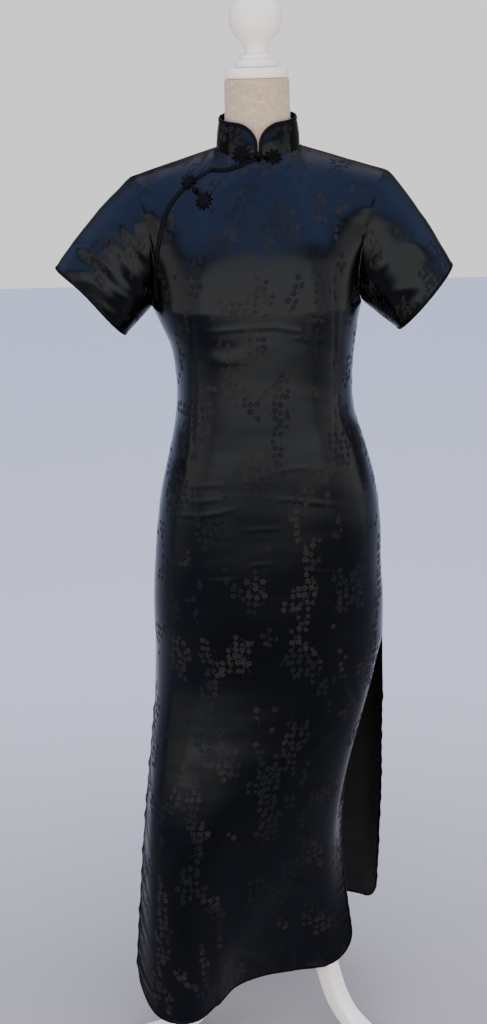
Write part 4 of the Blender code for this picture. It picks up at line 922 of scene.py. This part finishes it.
SLEEVE_HALF_DEPTH, SLEEVE_BULGE = 0.046, 0.009
SLEEVES = {
    "left": (-1, ((-0.317, 0.0, 1.327), (-0.211, 0.0, 1.225)), [
        (0.0060, 0.0028, (-0.277, 1.366), (-0.250, 1.362), (-0.226, 1.346), (-0.204, 1.324)),
        (0.0120, -0.0041, (-0.276, 1.346), (-0.248, 1.338), (-0.226, 1.318), (-0.206, 1.294)),
        (0.0070, -0.0022, (-0.160, 1.330), (-0.184, 1.366), (-0.205, 1.405)),
        (0.0065, 0.0023, (-0.161, 1.346), (-0.180, 1.375), (-0.194, 1.402)),
        (0.0060, 0.0020, (-0.165, 1.300), (-0.192, 1.343), (-0.213, 1.385)),
        (0.0070, -0.0022, (-0.166, 1.285), (-0.196, 1.318), (-0.220, 1.352)),
        (0.0060, 0.0017, (-0.170, 1.268), (-0.200, 1.292), (-0.228, 1.312)),
        (0.0090, -0.0022, (-0.190, 1.262), (-0.214, 1.272), (-0.238, 1.290)),
        (0.0100, 0.0017, (-0.262, 1.400), (-0.278, 1.378), (-0.292, 1.352)),
    ]),
    "right": (1, ((0.294, 0.0, 1.317), (0.210, 0.0, 1.223)), [
        (0.0040, 0.0011, (0.171, 1.343), (0.179, 1.356), (0.190, 1.372)),
        (0.0040, 0.0010, (0.172, 1.328), (0.184, 1.345), (0.197, 1.362)),
        (0.0050, -0.0011, (0.172, 1.317), (0.186, 1.337), (0.202, 1.360)),
        (0.0050, 0.0010, (0.176, 1.302), (0.192, 1.324), (0.210, 1.346)),
        (0.0140, 0.0020, (0.222, 1.408), (0.246, 1.362), (0.284, 1.330)),
        (0.0140, -0.0017, (0.205, 1.398), (0.222, 1.350), (0.250, 1.312)),
        (0.0070, 0.0011, (0.196, 1.276), (0.222, 1.292), (0.252, 1.302)),
        (0.0070, -0.0010, (0.206, 1.258), (0.230, 1.274), (0.262, 1.290)),
    ]),
}
yoke_shares = np.linspace(0, 1, 45)
ones = np.ones(yoke_shares.shape)
hem_lines = {}
for name, (hand, hem, folds) in SLEEVES.items():
    up_front = yoke_point(-1, hand * ones, yoke_shares)
    down_back = yoke_point(1, hand * ones, yoke_shares)[::-1][1:-1]
    armhole = np.concatenate([up_front, down_back])
    lengths = np.linalg.norm(np.diff(up_front, axis=0), axis=1)
    up = np.concatenate([[0], np.cumsum(lengths)]) / lengths.sum() / 2
    turn = np.concatenate([up, 1 - up[-2:0:-1]]) * 2 * math.pi
    top, bottom = np.array(hem[0]), np.array(hem[1])
    ring = (top + bottom) / 2 - (top - bottom) / 2 * np.cos(turn)[:, None]
    ring[:, 1] -= SLEEVE_HALF_DEPTH * np.sin(turn)
    outward = 0.5 - 0.5 * np.cos(turn)
    swell = points(hand * 0.9 * outward, -0.7 * np.sin(turn), 0.5 * outward)
    bend = (armhole + ring) / 2 + swell * SLEEVE_BULGE
    rows = []
    for f in np.linspace(0, 0.955, 44):
        rows.append(armhole * (1 - f) ** 2 + bend * (2 * f * (1 - f)) + ring * f * f)
    grid = np.array(rows)
    out = -hand * grid_normals(grid, ring=True)
    placed = grid + np.array(AXIS)
    front_share = 1 / (1 + np.exp(grid[..., 1] / 0.006))
    behind = [(w, h * 0.7, *[(x * 0.99, z + 0.006) for x, z in line]) for w, h, *line in folds[::2]]
    lay = ripple(placed, 0.07, 0.0009, 0.9 + hand) + ripple(placed, 0.03, 0.0002, 2.5 + hand)
    lay += creases(placed, folds) * front_share + creases(placed, behind) * (1 - front_share)
    down = np.linspace(0, 1, len(rows))[:, None]
    lay *= np.minimum(down / 0.10, 1.0)
    lay += seam_dip(np.linalg.norm(grid - grid[0], axis=-1))
    face = grid + out * lay[..., None]
    if hand < 0:                             # the left hem is tugged up and back at its front
        pull = np.exp(-((np.arange(len(turn)) / len(turn) - 0.27) / 0.13) ** 2) * down ** 3
        face += pull[..., None] * np.array([0.003, 0.010, 0.006])
    closed = np.concatenate([face, face[:, :1]], axis=1)
    uv = flat_places(closed, 45)[:, :-1] + np.array([1.7 + 0.4 * hand, 0.1])
    piece = shell("sleeve_" + name + "_cloth", face, out, uv, ring=True)
    fasten(piece, "satin", "sleeve_" + name)
    hem_lines[name] = (face[-1], out[-1], hand)

# ---- The collar: a standing band of the satin over a stiff interlining. It
# leans in a little and is rounded where its two ends meet at the front.

COLLAR_HEIGHT, COLLAR_RISE, COLLAR_LEAN, COLLAR_OPENING = 0.043, 0.006, 0.005, 0.001
CORNER_LENGTH, CORNER_HEIGHT = 0.036, 0.031
neck_across = np.linspace(0, -NECK_SHARE, 30)
front_left = yoke_top(-1, neck_across)
back_line = yoke_top(1, np.linspace(-NECK_SHARE, NECK_SHARE, 60))
front_right = yoke_top(-1, np.linspace(NECK_SHARE, 0, 30))
neckline = np.concatenate([front_left, back_line[1:], front_right[1:]])
neck_run = np.concatenate([[0], np.cumsum(np.linalg.norm(np.diff(neckline, axis=0), axis=1))])
neck_total = neck_run[-1]


def collar_points(places, heights):
    """Points at those places along the neckline and heights above it."""
    base = np.stack([np.interp(places, neck_run, neckline[:, c]) for c in range(3)], axis=-1)
    inward = -base * np.array([1, 1, 0])
    inward = inward / np.linalg.norm(inward, axis=-1, keepdims=True)
    rise = np.asarray(heights)[..., None]
    return base + np.array([0, 0, 1]) * rise + inward * (COLLAR_LEAN * rise / COLLAR_HEIGHT)


def collar_border(band):
    """Place along the neckline and height of the collar's edge, set in by a band."""
    turns = np.radians(np.linspace(0, 90, 15))
    corner_s = COLLAR_OPENING + band + (CORNER_LENGTH - band) * (1 - np.cos(turns))
    drop = CORNER_HEIGHT - (CORNER_HEIGHT - band) * np.sin(turns)
    middle_s = np.linspace(CORNER_LENGTH + 0.003, neck_total - CORNER_LENGTH - 0.003, 80)
    places = np.concatenate([corner_s, middle_s, neck_total - corner_s[::-1]])
    drops = np.concatenate([drop, np.full(middle_s.shape, band), drop[::-1]])
    full = COLLAR_HEIGHT + COLLAR_RISE * np.cos(2 * math.pi * places / neck_total)
    return places, full - drops


places, heights = collar_border(0.005)
collar = np.array([collar_points(places, heights * f) for f in np.linspace(0.01, 1, 16)])
collar_out = -grid_normals(collar)
placed = collar + np.array(AXIS)
rise = np.linspace(0, 1, 16)[:, None]
lay = ripple(placed, 0.07, 0.0007, 3.3) + ripple(placed, 0.03, 0.0002, 1.3) + 0.0006 * np.sin(math.pi * rise)
collar_face = collar + collar_out * lay[..., None]
collar_piece = shell("collar_cloth", collar_face, collar_out, flat_places(collar, 55) + np.array([2.6, 0.3]))
fasten(collar_piece, "satin", "collar_band")

# ---- The bindings: bias strips of plain black satin, folded over every free
# edge: the opening, the collar, the sleeve hems, the slits and the skirt's hems.

binding, tree, shader = new_material("black_binding", (0.001, 0.001, 0.0012), 0.40)
shader.inputs["Specular IOR Level"].default_value = 0.06
flat = add_node(tree, "ShaderNodeUVMap", uv_map="cloth").outputs[0]
ribs = noise(tree, laid(tree, flat, (1.0, 0.2, 1), 0.785), 900.0, 2.0, "2D")
pulls = noise(tree, flat, 160.0, 2.0, "2D")
tree.links.new(ramp(tree, pulls, 0.35, 0.65, 0.32, 0.48), shader.inputs["Roughness"])
tree.links.new(blend_color(tree, ribs, (0.0006, 0.0006, 0.0008, 1), (0.0018, 0.0018, 0.0021, 1)),
               shader.inputs["Base Color"])
emboss(tree, shader, calc(tree, "MULTIPLY_ADD", pulls, 3.0, ribs), 0.5, 0.0003)
BINDING_STEP, BINDING_SIDES, BINDING_OVERHANG = 0.0042, 12, 0.0012


def bind(name, node, path, out, hand, closed=False, half_width=0.0030, half_thick=0.00145, lift=0.0):
    """A soft flattened tube that wraps the cloth's edge along a path. The cloth lies
    on the path's one side for hand 1, and on its other side for hand -1."""
    if closed:
        path, out = np.concatenate([path, path[:1]]), np.concatenate([out, out[:1]])
    run = np.concatenate([[0], np.cumsum(np.linalg.norm(np.diff(path, axis=0), axis=1))])
    at = np.linspace(0, run[-1], max(int(run[-1] / BINDING_STEP), 8) + 1)
    path, out = (np.stack([np.interp(at, run, v[:, c]) for c in range(3)], axis=-1) for v in (path, out))
    if closed:
        path, out, at = path[:-1], out[:-1], at[:-1]
        along = np.roll(path, -1, axis=0) - np.roll(path, 1, axis=0)
    else:
        along = np.gradient(path, axis=0)
    out = unit(out)
    inward = hand * unit(np.cross(out, along))
    middle = path - inward * (half_width - BINDING_OVERHANG) + out * (lift - CLOTH / 2)
    thick = half_thick * (1 + 0.10 * np.sin(at * 620 + 2 * np.sin(at * 97)) + 0.05 * np.sin(at * 1430))
    rings = []
    for k in range(BINDING_SIDES):
        angle = 2 * math.pi * k / BINDING_SIDES
        a = math.copysign(abs(math.cos(angle)) ** 0.75, math.cos(angle)) * half_width
        b = math.copysign(abs(math.sin(angle)) ** 0.75, math.sin(angle))
        rings.append(middle + inward * a + out * (b * thick)[:, None])
    rings = np.stack(rings, axis=1) + np.array(AXIS)
    piece = loft(name, rings, binding, closed=closed)
    around = np.tile(np.arange(BINDING_SIDES) * 0.0014, len(rings))
    table = np.stack([np.repeat(at, BINDING_SIDES), around], axis=-1)
    loops = np.empty(len(piece.data.loops), dtype=np.int32)
    piece.data.loops.foreach_get("vertex_index", loops)
    layer = piece.data.uv_layers.new(name="cloth")
    layer.data.foreach_set("uv", table[loops].astype(np.float32).ravel())
    fasten(piece, "binding", node)


def skirt_border(grid, last):
    """Down the left slit's edge, along the hem and up the right slit's edge."""
    return np.concatenate([grid[:last, 0][::-1], grid[0, 1:-1], grid[:last, -1]])


bind("opening_piping", "opening_binding", front_face[yoke, 0], front_out[yoke, 0], -1,
     half_width=0.0036, half_thick=0.0022, lift=0.0008)
bind("front_skirt_piping", "front_skirt_binding", skirt_border(front_face, front_slit),
     skirt_border(front_out, front_slit), 1)
bind("back_skirt_piping", "back_skirt_binding", skirt_border(back_face, back_slit),
     skirt_border(back_out, back_slit), -1)
for name, (path, out, hand) in hem_lines.items():
    bind("sleeve_piping_" + name, "sleeve_binding_" + name, path, out, hand, closed=True)
ends_low = collar_points(np.array([places[0], places[-1]]), np.array([0.0004, 0.0004]))
collar_path = np.concatenate([ends_low[:1], collar_face[-1], ends_low[1:]])
collar_ways = np.concatenate([collar_out[-1][:1], collar_out[-1], collar_out[-1][-1:]])
bind("collar_piping", "collar_binding", collar_path, collar_ways, 1)

# ---- The frogs: black silk cord laid in radial loops like small flowers, sewn
# flat on the cloth in two pairs, each pair closed by a ball knot of the same cord.

cord, tree, shader = new_material("black_cord", (0.002, 0.002, 0.0022), 0.50)
shader.inputs["Specular IOR Level"].default_value = 0.06
where = add_node(tree, "ShaderNodeTexCoord").outputs["Object"]
strands = noise(tree, where, 1400.0, 3.0)
tree.links.new(blend_color(tree, strands, (0.0005, 0.0005, 0.0005, 1), (0.0036, 0.0031, 0.0025, 1)),
               shader.inputs["Base Color"])
tree.links.new(ramp(tree, strands, 0.3, 0.7, 0.42, 0.65), shader.inputs["Roughness"])
emboss(tree, shader, strands, 0.6, 0.0003)


def geometry_tree(name, sizes):
    """A node tree with named sizes, and the identifiers that set them."""
    tree = bpy.data.node_groups.new(name, "GeometryNodeTree")
    tree.interface.new_socket("Geometry", in_out="OUTPUT", socket_type="NodeSocketGeometry")
    keys = {}
    for size, kind in sizes.items():
        socket = tree.interface.new_socket(size, in_out="INPUT", socket_type=kind)
        keys[size] = socket.identifier
    return tree, keys, tree.nodes.new("NodeGroupInput"), tree.nodes.new("NodeGroupOutput")


def grow(tree, keys, sizes, name):
    """The plain mesh that the tree gives for those sizes."""
    mesh = bpy.data.meshes.new(name)
    holder = bpy.data.objects.new(name, mesh)
    bpy.context.scene.collection.objects.link(holder)
    modifier = holder.modifiers.new("grow", "NODES")
    modifier.node_group = tree
    for size, value in sizes.items():
        modifier[keys[size]] = value
    bpy.context.view_layer.update()
    made = bpy.data.meshes.new_from_object(holder.evaluated_get(bpy.context.evaluated_depsgraph_get()))
    holder.modifiers.remove(modifier)
    bpy.data.objects.remove(holder)
    return made


def lay_cord(tree, curves, given):
    """A round cord along the curves."""
    round_profile = add_node(tree, "GeometryNodeCurvePrimitiveCircle", Resolution=CORD_SIDES,
                             Radius=given.outputs["Cord"])
    return add_node(tree, "GeometryNodeCurveToMesh", i0=curves, i1=round_profile.outputs["Curve"]).outputs[0]


def finish_cord(tree, geometry, given, result):
    """Real meshes in the cord's own material."""
    real = add_node(tree, "GeometryNodeRealizeInstances", i0=geometry)
    dressed = add_node(tree, "GeometryNodeSetMaterial", i0=real.outputs[0], Material=given.outputs["Material"])
    tree.links.new(dressed.outputs[0], result.inputs[0])


CORD_SIDES, LOOP_STEPS = 7, 22
LOOP_SHARES, LOOP_START = (1.0, 0.52), 0.06  # an outer and an inner loop for each petal
flower, flower_keys, given, result = geometry_tree("cord_flower", {
    "Petals": "NodeSocketInt", "Length": "NodeSocketFloat", "Width": "NodeSocketFloat",
    "Cord": "NodeSocketFloat", "Material": "NodeSocketMaterial"})
loops = flower.nodes.new("GeometryNodeJoinGeometry")
outward = add_node(flower, "ShaderNodeCombineXYZ",
                   X=calc(flower, "MULTIPLY", given.outputs["Length"], 0.5 + LOOP_START))
for share in LOOP_SHARES:
    loop = add_node(flower, "GeometryNodeCurvePrimitiveCircle", Resolution=LOOP_STEPS, Radius=0.5)
    size = add_node(flower, "ShaderNodeCombineXYZ", X=calc(flower, "MULTIPLY", given.outputs["Length"], share),
                    Y=calc(flower, "MULTIPLY", given.outputs["Width"], share), Z=1.0)
    placed = add_node(flower, "GeometryNodeTransform", Geometry=loop.outputs["Curve"], Scale=size.outputs[0],
                      Translation=outward.outputs[0])
    flower.links.new(placed.outputs[0], loops.inputs[0])
spots = add_node(flower, "GeometryNodePoints", Count=given.outputs["Petals"])
number = flower.nodes.new("GeometryNodeInputIndex").outputs[0]
turned_by = calc(flower, "MULTIPLY", calc(flower, "DIVIDE", number, given.outputs["Petals"]), 2 * math.pi)
way = add_node(flower, "ShaderNodeCombineXYZ", Z=turned_by)
petals_round = add_node(flower, "GeometryNodeInstanceOnPoints", Points=spots.outputs[0],
                        Instance=lay_cord(flower, loops.outputs[0], given), Rotation=way.outputs[0])
finish_cord(flower, petals_round.outputs[0], given, result)


def surface_of(names):
    """One surface of all those pieces, to lay the cord on."""
    verts, faces = [], []
    for name in names:
        mesh = bpy.data.objects[name].data
        base = len(verts)
        verts += [v.co.copy() for v in mesh.vertices]
        faces += [[base + i for i in p.vertices] for p in mesh.polygons]
    return BVHTree.FromPolygons(verts, faces)


cloth_below = surface_of(["front_cloth", "underlap_cloth", "opening_piping", "collar_cloth", "collar_piping"])
FROGS = {
    # node: the way it faces, petals, half width, half height, turn
    "frog_neck_left": ((-0.30, -0.90, 0.30), 11, 0.0178, 0.0136, 0.2),
    "frog_neck_right": ((0.30, -0.90, 0.30), 9, 0.0150, 0.0114, 0.0),
    "frog_chest_left": ((-0.25, -0.93, 0.28), 9, 0.0122, 0.0122, 0.5),
    "frog_chest_right": ((-0.22, -0.93, 0.28), 11, 0.0138, 0.0138, 0.1),
}
AWAY = 0.03                                  # how far off the cloth is looked for from
FLOWER_CORD_RADIUS = 0.00078


def show_cord(node, mesh):
    """The finished cord mesh stands for its solid."""
    mesh.shade_smooth()
    mesh.materials.clear()
    mesh.materials.append(cord)
    piece = bpy.data.objects.new(node + "_cord", mesh)
    bpy.context.scene.collection.objects.link(piece)
    fasten(piece, "cord", node)


centres = {}
for node, (facing, petals, half_width, half_height, turn) in FROGS.items():
    low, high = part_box(node)
    middle = (low + high) / 2
    out = Vector(facing).normalized()
    right = Vector((0, 0, 1)).cross(out).normalized() * -1
    up = out.cross(right).normalized() * -1
    flower_inputs = {"Petals": petals, "Length": half_width * 0.90,
                     "Width": half_width * 2.1 / petals, "Cord": FLOWER_CORD_RADIUS, "Material": cord}
    mesh = grow(flower, flower_keys, flower_inputs, node)
    squash = half_height / half_width
    for v in mesh.vertices:
        a = v.co.x * math.cos(turn) - v.co.y * math.sin(turn)
        b = (v.co.x * math.sin(turn) + v.co.y * math.cos(turn)) * squash
        spot = middle + right * a + up * b
        hit = cloth_below.ray_cast(spot + out * AWAY, -out, 2 * AWAY)
        ground_height = AWAY - hit[3] if hit[0] is not None else 0.0
        lift = 0.0012 + 0.0006 * math.cos(min(math.hypot(a, b) / half_width, 1.0) * math.pi / 2)
        v.co = spot + out * (ground_height + lift + v.co.z)
    show_cord(node, mesh)
    hit = cloth_below.ray_cast(middle + out * AWAY, -out, 2 * AWAY)
    centres[node] = (hit[0] if hit[0] is not None else middle) + out * 0.0016

KNOT_RADIUS, KNOT_SHARE, KNOT_LEVELS = 0.0044, 0.80, (-0.48, 0.0, 0.48)
knot_tree, knot_keys, given, result = geometry_tree("ball_knot", {
    "Radius": "NodeSocketFloat", "Cord": "NodeSocketFloat", "Material": "NodeSocketMaterial"})
loops = knot_tree.nodes.new("GeometryNodeJoinGeometry")
for axis in ((0, 0, 0), (math.pi / 2, 0, 0.4), (0, math.pi / 2, 0.4)):
    for level in KNOT_LEVELS:
        wide = calc(knot_tree, "MULTIPLY", given.outputs["Radius"], math.sqrt(1 - level ** 2) * KNOT_SHARE)
        offset = calc(knot_tree, "MULTIPLY", given.outputs["Radius"], level * KNOT_SHARE)
        ring = add_node(knot_tree, "GeometryNodeCurvePrimitiveCircle", Resolution=LOOP_STEPS, Radius=wide)
        move = add_node(knot_tree, "ShaderNodeCombineXYZ", Z=offset)
        raised = add_node(knot_tree, "GeometryNodeTransform", Geometry=ring.outputs["Curve"],
                          Translation=move.outputs[0])
        leaning = add_node(knot_tree, "GeometryNodeTransform", Geometry=raised.outputs[0], Rotation=axis)
        knot_tree.links.new(leaning.outputs[0], loops.inputs[0])
finish_cord(knot_tree, lay_cord(knot_tree, loops.outputs[0], given), given, result)

STEM_PLACES, STEM_SIDES, STEM_RADIUS = np.linspace(0.25, 0.98, 9), 8, 0.0011
for node, pair in (("knot_neck", ("frog_neck_left", "frog_neck_right")),
                   ("knot_chest", ("frog_chest_left", "frog_chest_right"))):
    low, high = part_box(node)
    middle = (low + high) / 2
    mesh = grow(knot_tree, knot_keys, {"Radius": KNOT_RADIUS, "Cord": 0.00115, "Material": cord}, node)
    for v in mesh.vertices:
        v.co = v.co + middle
    show_cord(node, mesh)
    for frog in pair:
        start = centres[frog]
        along = (middle - start).normalized()
        side_way = along.cross(Vector((0, -1, 0.3))).normalized()
        up_way = side_way.cross(along).normalized()
        rings = []
        for f in STEM_PLACES:
            spot = start.lerp(middle, float(f))
            hit = cloth_below.ray_cast(spot + Vector((0, -0.03, 0.008)),
                                       Vector((0, 1, -0.26)).normalized(), 0.06)
            if hit[0] is not None and f < 0.8:
                spot = hit[0] + Vector((0, -0.0016, 0.0004))
            rings.append([tuple(spot + (side_way * math.cos(t) * 1.5 + up_way * math.sin(t)) * STEM_RADIUS)
                          for t in np.linspace(0, 2 * math.pi, STEM_SIDES + 1)[:-1]])
        fasten(loft(frog + "_stem", rings, cord), "cord")
